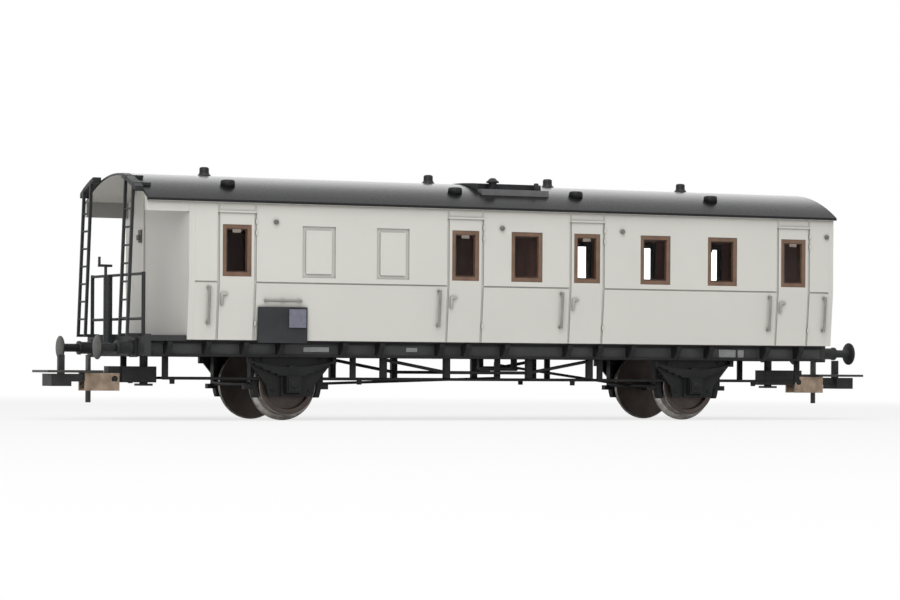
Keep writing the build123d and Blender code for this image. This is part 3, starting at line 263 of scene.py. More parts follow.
def softened(name, width, angle=EDGE_ANGLE):
    """Copy of a solid with its corners merged and its edges eased, which stands for that solid."""
    piece = bpy.data.objects.new(f"{name}_eased", nodes[name].data.copy())
    bpy.context.scene.collection.objects.link(piece)
    choose(piece)
    bpy.ops.object.mode_set(mode="EDIT")
    bpy.ops.mesh.select_all(action="SELECT")
    bpy.ops.mesh.remove_doubles(threshold=CORNER_MERGE * MM)
    bpy.ops.mesh.dissolve_limited(angle_limit=math.radians(FLAT_WITHIN))
    bpy.ops.mesh.quads_convert_to_tris(ngon_method="BEAUTY")
    bpy.ops.object.mode_set(mode="OBJECT")
    return ease(piece, width, angle)


def rounded_block(name, low, high, width):
    """Block between two corners in mm with eased edges."""
    bpy.ops.object.select_all(action="DESELECT")
    middle = [(a + b) / 2 * MM for a, b in zip(low, high)]
    bpy.ops.mesh.primitive_cube_add(size=1, location=middle)
    piece = bpy.context.object
    piece.name = name
    piece.scale = [(b - a) * MM for a, b in zip(low, high)]
    bpy.ops.object.transform_apply(location=True, rotation=True, scale=True)
    return ease(piece, width)


def dress(material, *names):
    """Gives a finish to solids that stay as they are."""
    for name in names:
        mesh = nodes[name].data
        mesh.materials.clear()
        mesh.materials.append(material)


SOLE_FACE, WEB_ROUNDING = 12.4, 0.1
PLATE_T, PLATE_SEAT = 0.18, 0.05
FRAME_EDGE, PLATE_EDGE = 0.06, 0.06
# Rows: left and right edge, bottom and top
SOLE_PLATES = (
    (-39.6, -34.6, 12.35, 13.25),
    (-19.2, -17.0, 12.5, 13.3),
    (46.9, 50.6, 12.0, 13.5),
    (51.1, 52.4, 12.0, 13.5),
)
chassis_grey = coated_finish(
    "chassis_grey", (0.032, 0.033, 0.033), blotch=6, grain=0.15, roughness=(0.42, 0.6), depth=0.006,
    darkest=0.78, sheen=0.3,
)
# Painted light: the web is lighter than the rest of the underframe. Painted shade: consoles and flanges
# near black.
web_painted_light = coated_finish(
    "web_painted_light", (0.078, 0.08, 0.08), blotch=5, grain=0.15, roughness=(0.42, 0.6), depth=0.006,
    darkest=0.8, sheen=0.3,
)
console_painted_shade = coated_finish(
    "console_painted_shade", (0.017, 0.0175, 0.0175), blotch=4, grain=0.14, roughness=(0.42, 0.6), depth=0.006,
    darkest=0.78, sheen=0.22,
)
blank_plate = coated_finish(
    "blank_plate", (0.36, 0.37, 0.37), blotch=1.5, grain=0.1, roughness=(0.4, 0.55), depth=0.002,
    darkest=0.85,
)
dress(chassis_grey, "floor")
for name in ("headstock_platform", "headstock_closed"):
    mount(softened(name, FRAME_EDGE), (chassis_grey,), "car", "chassis", name)
for side in SIDES:
    name = f"sole_bar_{side}"
    sole_bar = mount(softened(name, FRAME_EDGE), (web_painted_light, console_painted_shade), "car", "chassis", name)
    # Faces standing out from the web take the painted shade.
    for face in sole_bar.data.polygons:
        face.material_index = int(abs(face.center.y) > (SOLE_FACE + WEB_ROUNDING) * MM)
plates = [
    rounded_block("plate", (x0, -SOLE_FACE - PLATE_T, z0), (x1, PLATE_SEAT - SOLE_FACE, z1), PLATE_EDGE)
    for x0, x1, z0, z1 in SOLE_PLATES
]
mount(unite("sole_bar_plates", plates), (blank_plate,), "car", "chassis")

# Axle guards
# Shaped plates moulded with horns, axle box and leaf spring; a lid with a boss closes each box
# and small hexagon heads show where the plate is bolted to the sole bar.
BOX_FACE, GUARD_FACE = 13.2, 11.5
LID_HALF_X, LID_HALF_Z, LID_T, LID_SEAT = 1.15, 1.2, 0.22, 0.05
# Turned profiles, rows: radius, distance out
LID_BOSS = ((0.75, 0.1), (0.75, 0.34), (0.55, 0.42))
GUARD_BOLT = ((0.3, -0.1), (0.3, 0.16), (0.2, 0.22))
BOSS_SIDES, HEXAGON, HEXAGON_ANGLE = 24, 6, 70
LID_EDGE, BOSS_EDGE, BOLT_EDGE, GUARD_EDGE = 0.08, 0.04, 0.03, 0.05
OUTWARD = {"near": 0, "far": 180}
# Rows: distance from the middle of the guard, height
GUARD_BOLTS = ((-7.5, 10.9), (-5.6, 10.9), (5.6, 10.9), (7.5, 10.9), (-3.6, 5.4), (3.6, 5.4))
guard_black = coated_finish(
    "guard_black", (0.013, 0.0135, 0.0135), blotch=5, grain=0.14, roughness=(0.38, 0.56), depth=0.006,
    darkest=0.75, sheen=0.2,
)
lid = rounded_block(
    "lid", (-LID_HALF_X, -LID_T, -LID_HALF_Z), (LID_HALF_X, LID_SEAT, LID_HALF_Z), LID_EDGE
)
boss = set_in(ease(lathe("boss", LID_BOSS, BOSS_SIDES), BOSS_EDGE), (0, 0, 0), (90, 0, 0))
bolt_pattern = ease(lathe("bolt", GUARD_BOLT, HEXAGON), BOLT_EDGE, HEXAGON_ANGLE)
bolts = [
    set_in(twin(bolt_pattern), (offset, BOX_FACE - GUARD_FACE, z - AXLE_Z), (90, 0, 0))
    for offset, z in GUARD_BOLTS
]
lid_pattern = unite("lid_set", [lid, boss] + bolts)
for end, hand in ENDS.items():
    for side, way in SIDES.items():
        name = f"axle_guard_{end}_{side}"
        mount(softened(name, GUARD_EDGE), (guard_black,), "car", "chassis", name)
        place = (hand * AXLE_X, way * BOX_FACE, AXLE_Z)
        lid_set = set_in(twin(lid_pattern), place, (0, 0, OUTWARD[side]))
        lid_set.name = f"axle_box_lid_{end}_{side}"
        mount(lid_set, (guard_black,), "car", "chassis")
put_away(bolt_pattern, lid_pattern)

# Brake gear and rods
# Shoes on hangers, cross beams, the brake shaft with its pull rods, and the truss and tie rods,
# all fine dark mouldings pushed into the floor.
BRAKE_PIECES = (
    "brake_gear_left", "brake_gear_right", "brake_shaft",
    "truss_near", "truss_far", "tie_rod_near", "tie_rod_far",
)
ROD_EDGE, FINE_ANGLE = 0.03, 50
brake_black = coated_finish(
    "brake_black", (0.013, 0.0135, 0.0135), blotch=4, grain=0.12, roughness=(0.4, 0.58), depth=0.005,
    darkest=0.75, sheen=0.2,
)
for name in BRAKE_PIECES:
    mount(softened(name, ROD_EDGE, FINE_ANGLE), (brake_black,), "car", "chassis", name)

# Body shell
# Side walls, end wall, bulkhead and headers are thin mouldings in brown plastic, sprayed outside
# with a satin light grey. Painted shade darkens the paint in the grooves and corners, and the
# inner faces of the headers take a darker grey as painted shade.
RECESS_REACH, RECESS_SHADE_TONE = 0.7, 0.5
RECESS_FROM, RECESS_TO = 0.45, 0.95
INSIDE_HALF_WIDTH, INSIDE_LEFT, INSIDE_RIGHT = 15.215, -62.3, 69.4
BROWN_PLASTIC = (0.42, 0.22, 0.17)
PAINT = (0.65, 0.64, 0.595)
SHELL_EDGE, HEADER_SHADE_TONE, FACES_INWARD = 0.04, 0.35, -0.5


def between(tree, value, low, high):
    """1 where a value lies between two places in mm, and 0 elsewhere."""
    test = tree.nodes.new("ShaderNodeMath")
    test.operation = "COMPARE"
    test.inputs[1].default_value = (low + high) / 2 * MM
    test.inputs[2].default_value = (high - low) / 2 * MM
    tree.links.new(value, test.inputs[0])
    return test.outputs[0]


def combine(tree, operation, first, second):
    """Two values put together."""
    result = tree.nodes.new("ShaderNodeMath")
    result.operation = operation
    tree.links.new(first, result.inputs[0])
    tree.links.new(second, result.inputs[1])
    return result.outputs[0]


body_grey = coated_finish(
    "body_grey", PAINT, blotch=25, grain=0.1, roughness=(0.4, 0.52), depth=0.002, darkest=0.975
)
body_tree = body_grey.node_tree
body_colour = body_tree.nodes["Principled BSDF"].inputs["Base Color"]
clean_paint = body_colour.links[0].from_socket
# Painted shade: the paint is darkened where grooves and corners hold the light back.
openness = body_tree.nodes.new("ShaderNodeAmbientOcclusion")
openness.samples = 8
openness.inputs["Distance"].default_value = RECESS_REACH * MM
recess_shade = body_tree.nodes.new("ShaderNodeMapRange")
recess_shade.inputs["From Min"].default_value = RECESS_FROM
recess_shade.inputs["From Max"].default_value = RECESS_TO
recess_shade.inputs["To Min"].default_value = RECESS_SHADE_TONE
body_tree.links.new(openness.outputs["AO"], recess_shade.inputs["Value"])
shaded_paint = body_tree.nodes.new("ShaderNodeMix")
shaded_paint.data_type = "RGBA"
shaded_paint.blend_type = "MULTIPLY"
shaded_paint.inputs["Factor"].default_value = 1.0
body_tree.links.new(clean_paint, shaded_paint.inputs["A"])
body_tree.links.new(recess_shade.outputs["Result"], shaded_paint.inputs["B"])
body_place = body_tree.nodes.new("ShaderNodeTexCoord")
body_axes = body_tree.nodes.new("ShaderNodeSeparateXYZ")
body_tree.links.new(body_place.outputs["Object"], body_axes.inputs["Vector"])
inside = combine(
    body_tree, "MULTIPLY",
    between(body_tree, body_axes.outputs["X"], INSIDE_LEFT, INSIDE_RIGHT),
    between(body_tree, body_axes.outputs["Y"], -INSIDE_HALF_WIDTH, INSIDE_HALF_WIDTH),
)
unpainted = body_tree.nodes.new("ShaderNodeMix")
unpainted.data_type = "RGBA"
unpainted.inputs["B"].default_value = (*BROWN_PLASTIC, 1.0)
body_tree.links.new(inside, unpainted.inputs["Factor"])
body_tree.links.new(shaded_paint.outputs["Result"], unpainted.inputs["A"])
body_tree.links.new(unpainted.outputs["Result"], body_colour)
# Painted shade: a darker grey for the inner faces of the headers, which lie under the roof.
header_painted_shade = coated_finish(
    "header_painted_shade", shade(PAINT, HEADER_SHADE_TONE), blotch=8, grain=0.1, roughness=(0.45, 0.6), depth=0.002
)
for name in ("side_wall_near", "side_wall_far", "end_wall", "bulkhead"):
    mount(softened(name, SHELL_EDGE), (body_grey,), "car", "body_paint", name)
for side, way in SIDES.items():
    name = f"header_{side}"
    header = mount(softened(name, SHELL_EDGE), (body_grey, header_painted_shade), "car", "body_paint", name)
    # Faces turned in towards the car take the painted shade.
    for face in header.data.polygons:
        face.material_index = int(face.normal.y * way < FACES_INWARD)

# Door seams
# The joints beside each door run on above it to the eaves, as fine lines moulded on the wall
# and toned a darker grey: painted shade standing for the shadow in a groove.
DOORS = (-54.05, -9.05, 16.15, 61.15)
DOOR_HALF, SEAM_HALF = 3.5, 0.2
SEAM_BOTTOM, SEAM_TOP, SEAM_PROUD = 37.15, 38.95, 0.03
WALL_FACE, SEAM_SHADE_TONE, SEAM_EDGE = 16.3, 0.76, 0.01
# Painted shade: a darker grey standing for the shadow in the door joints.
seam_painted_shade = coated_finish(
    "seam_painted_shade", shade(PAINT, SEAM_SHADE_TONE), blotch=4, grain=0.1, roughness=(0.45, 0.6), depth=0.002
)
seam_pattern = rounded_block(
    "seam", (-SEAM_HALF, -SEAM_PROUD, SEAM_BOTTOM), (SEAM_HALF, SEAM_PROUD, SEAM_TOP), SEAM_EDGE
)
for side, way in SIDES.items():
    seams = [
        set_in(twin(seam_pattern), (door + edge, way * WALL_FACE, 0))
        for door in DOORS for edge in (-DOOR_HALF, DOOR_HALF)
    ]
    mount(unite(f"door_seams_{side}", seams), (seam_painted_shade,), "car", "body_paint")
put_away(seam_pattern)

# Bulkhead fittings
# A thin batten stands upright on the bulkhead, painted with it. Beside it sits a dark plastic
# lamp bracket with its socket.
BULKHEAD_X = -63.1
# Rows: name, edges across the car, bottom and top, reach out, root in the wall, rounding
BULKHEAD_BLOCKS = (
    ("bulkhead_batten", (6.3, 6.8), (15.1, 40.2), 0.3, 0.05, 0.08),
    ("bracket", (7.6, 9.1), (32.2, 34.5), 0.3, 0.05, 0.08),
    ("socket", (7.9, 8.8), (32.6, 33.6), 0.75, -0.2, 0.1),
)
bracket_grey = coated_finish(
    "bracket_grey", (0.09, 0.088, 0.08), blotch=1, grain=0.08, roughness=(0.4, 0.55), depth=0.002,
    darkest=0.85,
)
batten, bracket, socket = [
    rounded_block(name, (BULKHEAD_X - reach, y0, z0), (BULKHEAD_X + root, y1, z1), edge)
    for name, (y0, y1), (z0, z1), reach, root, edge in BULKHEAD_BLOCKS
]
mount(batten, (body_grey,), "car", "body_paint")
mount(unite("lamp_bracket", [bracket, socket]), (bracket_grey,), "car", "fittings_grey")

# Windows
# Brown moulded frames are pressed in the openings, with a bead inside painted a darker brown as
# painted shade of the frame's inner edge, and a clear pane behind each. The door windows have a
# small pull tab under the top of the frame.
WINDOWS = (3.55, 30.75, 45.35)
PANE_BOTTOM, PANE_TOP = 26.35, 34.05
PANE_WIDTH, DOOR_PANE_WIDTH = 4.95, 4.0
BEAD_W, BEAD_DEPTH, BEAD_FACE = 0.24, 0.33, 15.95
PULL_HALF, PULL_BOTTOM, PULL_TOP = 0.8, 33.35, 34.0
PULL_FACE, PULL_T = 16.15, 0.3
WINDOW_EDGE, BEAD_EDGE, PULL_EDGE = 0.07, 0.05, 0.06
PANE_TINT, PANE_INDEX = (0.95, 0.96, 0.96), 1.15
PANE_BLOTCH, PANE_HAZE = 2, (0.0, 0.05)


def bead_ring(width, height):
    """Rectangular ring, its front on the XZ plane and its back further in."""
    bpy.ops.object.select_all(action="DESELECT")
    bpy.ops.mesh.primitive_plane_add(size=1, rotation=(math.radians(90), 0, 0))
    ring = bpy.context.object
    ring.scale = (width * MM, height * MM, 1)
    bpy.ops.object.transform_apply(location=True, rotation=True, scale=True)
    bpy.ops.object.mode_set(mode="EDIT")
    bpy.ops.mesh.select_all(action="SELECT")
    bpy.ops.mesh.inset(thickness=BEAD_W * MM)
    bpy.ops.mesh.delete(type="FACE")
    bpy.ops.mesh.select_all(action="SELECT")
    bpy.ops.mesh.extrude_region_move(TRANSFORM_OT_translate={"value": (0, BEAD_DEPTH * MM, 0)})
    bpy.ops.mesh.select_all(action="SELECT")
    bpy.ops.mesh.normals_make_consistent(inside=False)
    bpy.ops.object.mode_set(mode="OBJECT")
    return ease(ring, BEAD_EDGE)


frame_brown = coated_finish(
    "frame_brown", (0.165, 0.095, 0.06), blotch=2, grain=0.1, roughness=(0.36, 0.5), depth=0.003,
    darkest=0.82,
)
# Painted shade: a darker brown for the shaded inner edge of the frames.
bead_painted_shade = coated_finish(
    "bead_painted_shade", (0.06, 0.034, 0.023), blotch=2, grain=0.1, roughness=(0.36, 0.5), depth=0.003,
    darkest=0.82, sheen=0.3,
)
pull_grey = coated_finish(
    "pull_grey", (0.24, 0.2, 0.17), blotch=1, grain=0.08, roughness=(0.35, 0.5), depth=0.002,
    darkest=0.85,
)
clear_pane, pane_tree, pane_shader = new_material("clear_pane")
pane_shader.inputs["Base Color"].default_value = (*PANE_TINT, 1.0)
pane_shader.inputs["Transmission Weight"].default_value = 1.0
pane_shader.inputs["IOR"].default_value = PANE_INDEX
pane_haze = spread(pane_tree, noise(pane_tree, PANE_BLOTCH), *PANE_HAZE)
pane_tree.links.new(pane_haze, pane_shader.inputs["Roughness"])
bead_patterns = {
    width: bead_ring(width, PANE_TOP - PANE_BOTTOM) for width in (PANE_WIDTH, DOOR_PANE_WIDTH)
}
pull_pattern = rounded_block(
    "pull", (-PULL_HALF, 0, PULL_BOTTOM), (PULL_HALF, PULL_T, PULL_TOP), PULL_EDGE
)
openings = [(x, PANE_WIDTH) for x in WINDOWS] + [(x, DOOR_PANE_WIDTH) for x in DOORS]
bead_middle = (PANE_BOTTOM + PANE_TOP) / 2
for side, way in SIDES.items():
    turn = (0, 0, OUTWARD[side])
    name = f"window_frames_{side}"
    mount(softened(name, WINDOW_EDGE), (frame_brown,), "car", "window_frame", name)
    dress(clear_pane, f"window_panes_{side}")
    beads = [
        set_in(twin(bead_patterns[width]), (x, way * BEAD_FACE, bead_middle), turn)
        for x, width in openings
    ]
    mount(unite(f"window_beads_{side}", beads), (bead_painted_shade,), "car", "window_frame")
    pulls = [set_in(twin(pull_pattern), (x, way * PULL_FACE, 0), turn) for x in DOORS]
    mount(unite(f"window_pulls_{side}", pulls), (pull_grey,), "car", "window_frame")
put_away(pull_pattern, *bead_patterns.values())

# Side fittings
# Grab rails, door levers and door stops are plastic pegs pushed in small holes;
# the door hinges are short barrels moulded on the wall.
HINGE_FROM_DOOR = 3.72
HINGE_PROFILE = ((0.2, -0.42), (0.2, 0.42))
# Rows: height of the hinge, distance of the wall's face from the middle
HINGES = ((35.4, WALL_FACE), (33.4, WALL_FACE), (17.3, 15.7))
STOPS_ABOVE = 30.0
RAIL_EDGE, LEVER_EDGE, HINGE_EDGE, HINGE_SIDES = 0.04, 0.05, 0.05, 14
rail_grey = coated_finish(
    "rail_grey", (0.25, 0.25, 0.23), blotch=2, grain=0.1, roughness=(0.36, 0.5), depth=0.003,
    darkest=0.85,
)
lever_grey = coated_finish(
    "lever_grey", (0.42, 0.41, 0.38), blotch=2, grain=0.1, roughness=(0.36, 0.5), depth=0.003,
    darkest=0.85,
)
stop_grey = coated_finish(
    "stop_grey", (0.14, 0.14, 0.13), blotch=2, grain=0.1, roughness=(0.36, 0.5), depth=0.003,
    darkest=0.85,
)
hinge_pattern = ease(lathe("hinge", HINGE_PROFILE, HINGE_SIDES), HINGE_EDGE)
for side, way in SIDES.items():
    name = f"grab_rails_{side}"
    mount(softened(name, RAIL_EDGE, FINE_ANGLE), (rail_grey,), "car", "fittings_grey", name)
    name = f"door_fittings_{side}"
    levers = softened(name, LEVER_EDGE, FINE_ANGLE)
    fittings = mount(levers, (lever_grey, stop_grey), "car", "fittings_grey", name)
    for face in fittings.data.polygons:
        face.material_index = int(face.center.z > STOPS_ABOVE * MM)
    hinges = [
        set_in(twin(hinge_pattern), (door + HINGE_FROM_DOOR, way * face_y, z))
        for door in DOORS for z, face_y in HINGES
    ]
    mount(unite(f"door_hinges_{side}", hinges), (body_grey,), "car", "body_paint")
board_rail = softened("board_rail", RAIL_EDGE, FINE_ANGLE)
mount(board_rail, (rail_grey,), "car", "fittings_grey", "board_rail")
put_away(hinge_pattern)

# Chalk board
# A matt dark plate on the near wall with a paper holder: a small frame of sheet metal
# with a wire lattice in front.
HOLDER_X, HOLDER_Z, HOLDER_HALF = -42.5, 18.3, 1.65
BACKING_PROUD, BACKING_SEAT = 0.03, 0.02
LATTICE_CELLS, LATTICE_WIRE = 7, 0.13
BOARD_EDGE, BACKING_EDGE = 0.05, 0.01
board_slate = coated_finish(
    "board_slate", (0.036, 0.037, 0.04), blotch=3, grain=0.1, roughness=(0.55, 0.72), depth=0.004,
    darkest=0.85, sheen=0.2,
)
holder_zinc = coated_finish(
    "holder_zinc", (0.165, 0.17, 0.215), blotch=1, grain=0.08, roughness=(0.4, 0.55), depth=0.002,
    darkest=0.85,
)
mount(softened("chalk_board", BOARD_EDGE), (board_slate,), "car", "board", "chalk_board")
holder_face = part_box("chalk_board")[0].y / MM
bpy.ops.object.select_all(action="DESELECT")
bpy.ops.mesh.primitive_grid_add(
    x_subdivisions=LATTICE_CELLS, y_subdivisions=LATTICE_CELLS, size=2 * HOLDER_HALF * MM,
    location=(HOLDER_X * MM, holder_face * MM, HOLDER_Z * MM), rotation=(math.radians(90), 0, 0),
)
lattice = bpy.context.object
bpy.ops.object.transform_apply(location=True, rotation=True, scale=True)
wires = lattice.modifiers.new("wires", "WIREFRAME")
wires.thickness = LATTICE_WIRE * MM
wires.use_even_offset = False
bpy.ops.object.modifier_apply(modifier=wires.name)
backing = rounded_block(
    "backing", (HOLDER_X - HOLDER_HALF, holder_face - BACKING_PROUD, HOLDER_Z - HOLDER_HALF),
    (HOLDER_X + HOLDER_HALF, holder_face + BACKING_SEAT, HOLDER_Z + HOLDER_HALF), BACKING_EDGE,
)
mount(unite("paper_holder_lattice", [lattice, backing]), (holder_zinc,), "car", "board")

# Inside
# A brown insert with two partitions stands on the steel strip that gives the car its weight.
insert_brown = coated_finish(
    "insert_brown", BROWN_PLASTIC, blotch=5, grain=0.2, roughness=(0.5, 0.7), depth=0.004,
    darkest=0.8, sheen=0.2,
)
strip_steel = coated_finish(
    "strip_steel", (0.45, 0.45, 0.45), blotch=4, grain=0.1, roughness=(0.3, 0.45), depth=0.002,
    metallic=1.0,
)
dress(insert_brown, "interior")
dress(strip_steel, "weight")

# Roof
# A dark grey satin barrel roof, snapped on the walls and light grey inside, with a raised panel,
# a brimmed pot, and turned vents: tall ones on the ridge, low drums on the slopes.
ARCH_R, CROWN = 31.554, 44.2
VENT_PLACES = (*DOORS[:3], WINDOWS[-1])
SLOPE_Y = 11.6
DRUM_CUT = -0.2
# Turned profiles, rows: radius, height above the seat
RIDGE_VENT = (
    (1.25, -0.3), (1.25, 0.1), (1.05, 0.3), (0.92, 0.5), (0.88, 0.7), (0.88, 1.35), (0.8, 1.5),
    (0.6, 1.62), (0.3, 1.65),
)
SLOPE_VENT = ((1.3, -1.2), (1.3, 0.6), (1.26, 0.75), (1.15, 0.88), (0.95, 0.95), (0.4, 0.97))
POT = (
    (0.75, -0.05), (0.75, 1.2), (1.15, 1.2), (1.2, 1.28), (1.2, 1.42), (1.05, 1.55), (0.7, 1.85),
    (0.45, 2.08), (0.2, 2.1),
)
NUB = ((0.45, -0.05), (0.45, 1.25), (0.36, 1.38), (0.2, 1.4))
POT_X, NUB_X, LEDGE_Y, LEDGE_Z = -1.3, 7.8, -11.55, 42.8
LEDGE_FROM = 10.65
UNDERSIDE_FROM, UNDERSIDE_FULL = -0.3, -0.5
ROOF_EDGE, PANEL_EDGE, ROOF_ANGLE = 0.1, 0.08, 30
VENT_SIDES, NUB_SIDES, VENT_EDGE = 32, 24, 0.03
LINING = (0.6, 0.58, 0.54)
roof_grey = coated_finish(
    "roof_grey", (0.01, 0.0103, 0.011), blotch=18, grain=0.12, roughness=(0.25, 0.31), depth=0.002,
    sheen=0.22,
)
roof_tree = roof_grey.node_tree
roof_colour = roof_tree.nodes["Principled BSDF"].inputs["Base Color"]
outer_colour = roof_colour.links[0].from_socket
facing = roof_tree.nodes.new("ShaderNodeNewGeometry")
upright = roof_tree.nodes.new("ShaderNodeSeparateXYZ")
roof_tree.links.new(facing.outputs["True Normal"], upright.inputs["Vector"])
underside = roof_tree.nodes.new("ShaderNodeMapRange")
underside.inputs["From Min"].default_value = UNDERSIDE_FROM
underside.inputs["From Max"].default_value = UNDERSIDE_FULL
roof_tree.links.new(upright.outputs["Z"], underside.inputs["Value"])
lining = roof_tree.nodes.new("ShaderNodeMix")
lining.data_type = "RGBA"
lining.inputs["B"].default_value = (*LINING, 1.0)
roof_tree.links.new(underside.outputs["Result"], lining.inputs["Factor"])
roof_tree.links.new(outer_colour, lining.inputs["A"])
roof_tree.links.new(lining.outputs["Result"], roof_colour)
fitting_black = coated_finish(
    "roof_fitting_black", (0.016, 0.0165, 0.018), blotch=3, grain=0.1, roughness=(0.4, 0.55),
    depth=0.004, darkest=0.8, sheen=0.25,
)
ledge_grey = coated_finish(
    "ledge_grey", (0.13, 0.13, 0.132), blotch=3, grain=0.1, roughness=(0.36, 0.5), depth=0.004,
    darkest=0.85, sheen=0.3,
)
mount(softened("roof", ROOF_EDGE, ROOF_ANGLE), (roof_grey,), "car", "roof_paint", "roof")
panel = softened("roof_panel", PANEL_EDGE, ROOF_ANGLE)
mount(panel, (fitting_black, ledge_grey), "car", "roof_paint", "roof_panel")
for face in panel.data.polygons:
    face.material_index = int(abs(face.center.y) > LEDGE_FROM * MM)
pot = set_in(ease(lathe("pot", POT, VENT_SIDES), VENT_EDGE), (POT_X, LEDGE_Y, LEDGE_Z))
nub = set_in(ease(lathe("nub", NUB, NUB_SIDES), VENT_EDGE), (NUB_X, LEDGE_Y, LEDGE_Z))
mount(unite("roof_pot_turned", [pot, nub]), (fitting_black,), "car", "roof_paint", "roof_pot")
slope_z = CROWN - ARCH_R + math.sqrt(ARCH_R**2 - SLOPE_Y**2)
lean = math.asin(SLOPE_Y / ARCH_R)
ridge_pattern = ease(lathe("ridge_vent", RIDGE_VENT, VENT_SIDES), VENT_EDGE)
drum_pattern = ease(lathe("slope_vent", SLOPE_VENT, VENT_SIDES), VENT_EDGE)
bpy.ops.object.mode_set(mode="EDIT")
bpy.ops.mesh.select_all(action="SELECT")
bpy.ops.mesh.bisect(
    plane_co=(0, 0, DRUM_CUT * MM), plane_no=(0, -math.sin(lean), math.cos(lean)),
    use_fill=True, clear_inner=True,
)
bpy.ops.object.mode_set(mode="OBJECT")
vents = [set_in(twin(ridge_pattern), (x, 0, CROWN)) for x in VENT_PLACES]
for side, way in SIDES.items():
    vents += [
        set_in(twin(drum_pattern), (x, way * SLOPE_Y, slope_z), (0, 0, OUTWARD[side]))
        for x in VENT_PLACES
    ]
mount(unite("roof_vents_turned", vents), (fitting_black,), "car", "roof_paint", "roof_vents")
put_away(ridge_pattern, drum_pattern)

# Buffers
# A square foot with four bolts, a sleeve with a collar at each end, and a turned plunger
# with a slightly domed head whose face is rubbed bright.
BUFFER_X, BUFFER_Y, BUFFER_Z = 70.9, 10.05, 12.9
FOOT_HALF, FOOT_T, FOOT_BOLT = 1.7, 0.5, 1.3
# Rows: radius, distance out from the headstock
SLEEVE = (
    (1.25, 0.3), (1.25, 0.95), (1.1, 1.05), (1.1, 3.0), (1.25, 3.1), (1.25, 3.6), (0.8, 3.6),
)
PLUNGER = (
    (0.75, 3.4), (0.75, 6.6), (1.0, 6.7), (2.0, 6.72), (2.15, 6.85), (2.15, 7.05), (2.0, 7.15),
    (1.5, 7.24), (0.9, 7.28), (0.3, 7.3),
)
FOOT_BOLT_HEAD = ((0.24, 0.4), (0.24, 0.62), (0.15, 0.68))
RUBBED_FROM = 7.0
SLEEVE_SIDES, PLUNGER_SIDES = 32, 48
SLEEVE_EDGE, PLUNGER_EDGE, FOOT_EDGE, FOOT_BOLT_EDGE = 0.04, 0.03, 0.08, 0.02
buffer_black = coated_finish(
    "buffer_black", (0.022, 0.0225, 0.023), blotch=3, grain=0.12, roughness=(0.36, 0.52), depth=0.004,
    darkest=0.8, sheen=0.25,
)
rubbed_steel = coated_finish(
    "rubbed_steel", (0.085, 0.083, 0.08), blotch=1.5, grain=0.08, roughness=(0.34, 0.5), depth=0.002,
    darkest=0.8, metallic=0.4, sheen=0.3,
)
sleeve = ease(lathe("sleeve", SLEEVE, SLEEVE_SIDES), SLEEVE_EDGE)
plunger = ease(lathe("plunger", PLUNGER, PLUNGER_SIDES), PLUNGER_EDGE)
foot = rounded_block("foot", (-FOOT_HALF, -FOOT_HALF, 0), (FOOT_HALF, FOOT_HALF, FOOT_T), FOOT_EDGE)
bolt_pattern = ease(lathe("bolt", FOOT_BOLT_HEAD, HEXAGON), FOOT_BOLT_EDGE, HEXAGON_ANGLE)
bolts = [
    set_in(twin(bolt_pattern), (x, y, 0))
    for x in (-FOOT_BOLT, FOOT_BOLT) for y in (-FOOT_BOLT, FOOT_BOLT)
]
buffer_pattern = unite("buffer", [sleeve, plunger, foot] + bolts)
for end, hand in ENDS.items():
    for side, way in SIDES.items():
        name = f"buffer_{end}_{side}"
        place = (hand * BUFFER_X, way * BUFFER_Y, BUFFER_Z)
        buffer = set_in(twin(buffer_pattern), place, (0, 90 * hand, 0))
        buffer.name = f"{name}_turned"
        mount(buffer, (buffer_black, rubbed_steel), "car", "buffer_black", name)
        for face in buffer.data.polygons:
            face.material_index = int(face.center.x * hand > (BUFFER_X + RUBBED_FROM) * MM)
put_away(bolt_pattern, buffer_pattern)

# Couplings
# A dark plastic drawbar and head with a hook, and a loop stamped from nickel plated sheet whose
# cheeks have tarnished to tan; the drawbar swings on a pin under the floor.
CHEEK_BOTTOM, CHEEK_TOP = 5.15, 8.35
SEAT_EDGE, DRAWBAR_EDGE, HEAD_EDGE, LOOP_EDGE = 0.04, 0.08, 0.07, 0.05
head_grey = coated_finish(
    "head_grey", (0.028, 0.028, 0.029), blotch=2, grain=0.1, roughness=(0.4, 0.55), depth=0.004,
    darkest=0.8, sheen=0.25,
)
cheek_tan = coated_finish(
    "cheek_tan", (0.36, 0.27, 0.2), blotch=1.5, grain=0.08, roughness=(0.3, 0.46), depth=0.002,
    darkest=0.75, metallic=0.7,
)
loop_dark = coated_finish(
    "loop_dark", (0.05, 0.048, 0.046), blotch=1.5, grain=0.08, roughness=(0.32, 0.48), depth=0.002,
    darkest=0.8, metallic=0.6,
)
for end in ENDS:
    name = f"coupler_seat_{end}"
    mount(softened(name, SEAT_EDGE), (chassis_grey,), "car", "chassis", name)
    name = f"drawbar_{end}"
    mount(softened(name, DRAWBAR_EDGE), (head_grey,), f"coupler_{end}", "chassis", name)
    name = f"coupler_head_{end}"
    mount(softened(name, HEAD_EDGE), (head_grey,), f"coupler_{end}", "coupler_head", name)
    name = f"coupler_loop_{end}"
    loop = softened(name, LOOP_EDGE)
    mount(loop, (cheek_tan, loop_dark), f"loop_{end}", "coupler_metal", name)
    for face in loop.data.polygons:
        face.material_index = int(not CHEEK_BOTTOM * MM < face.center.z < CHEEK_TOP * MM)

# Platform
# Railing, ladders and brake column are fine mouldings in near black plastic.
PLATFORM_EDGE = 0.04
platform_black = coated_finish(
    "platform_black", (0.018, 0.019, 0.02), blotch=3, grain=0.12, roughness=(0.38, 0.55), depth=0.004,
    darkest=0.8, sheen=0.3,
)
for name in ("railing", "ladder_near", "ladder_far", "brake_column"):
    mount(softened(name, PLATFORM_EDGE, FINE_ANGLE), (platform_black,), "car", "platform_black", name)

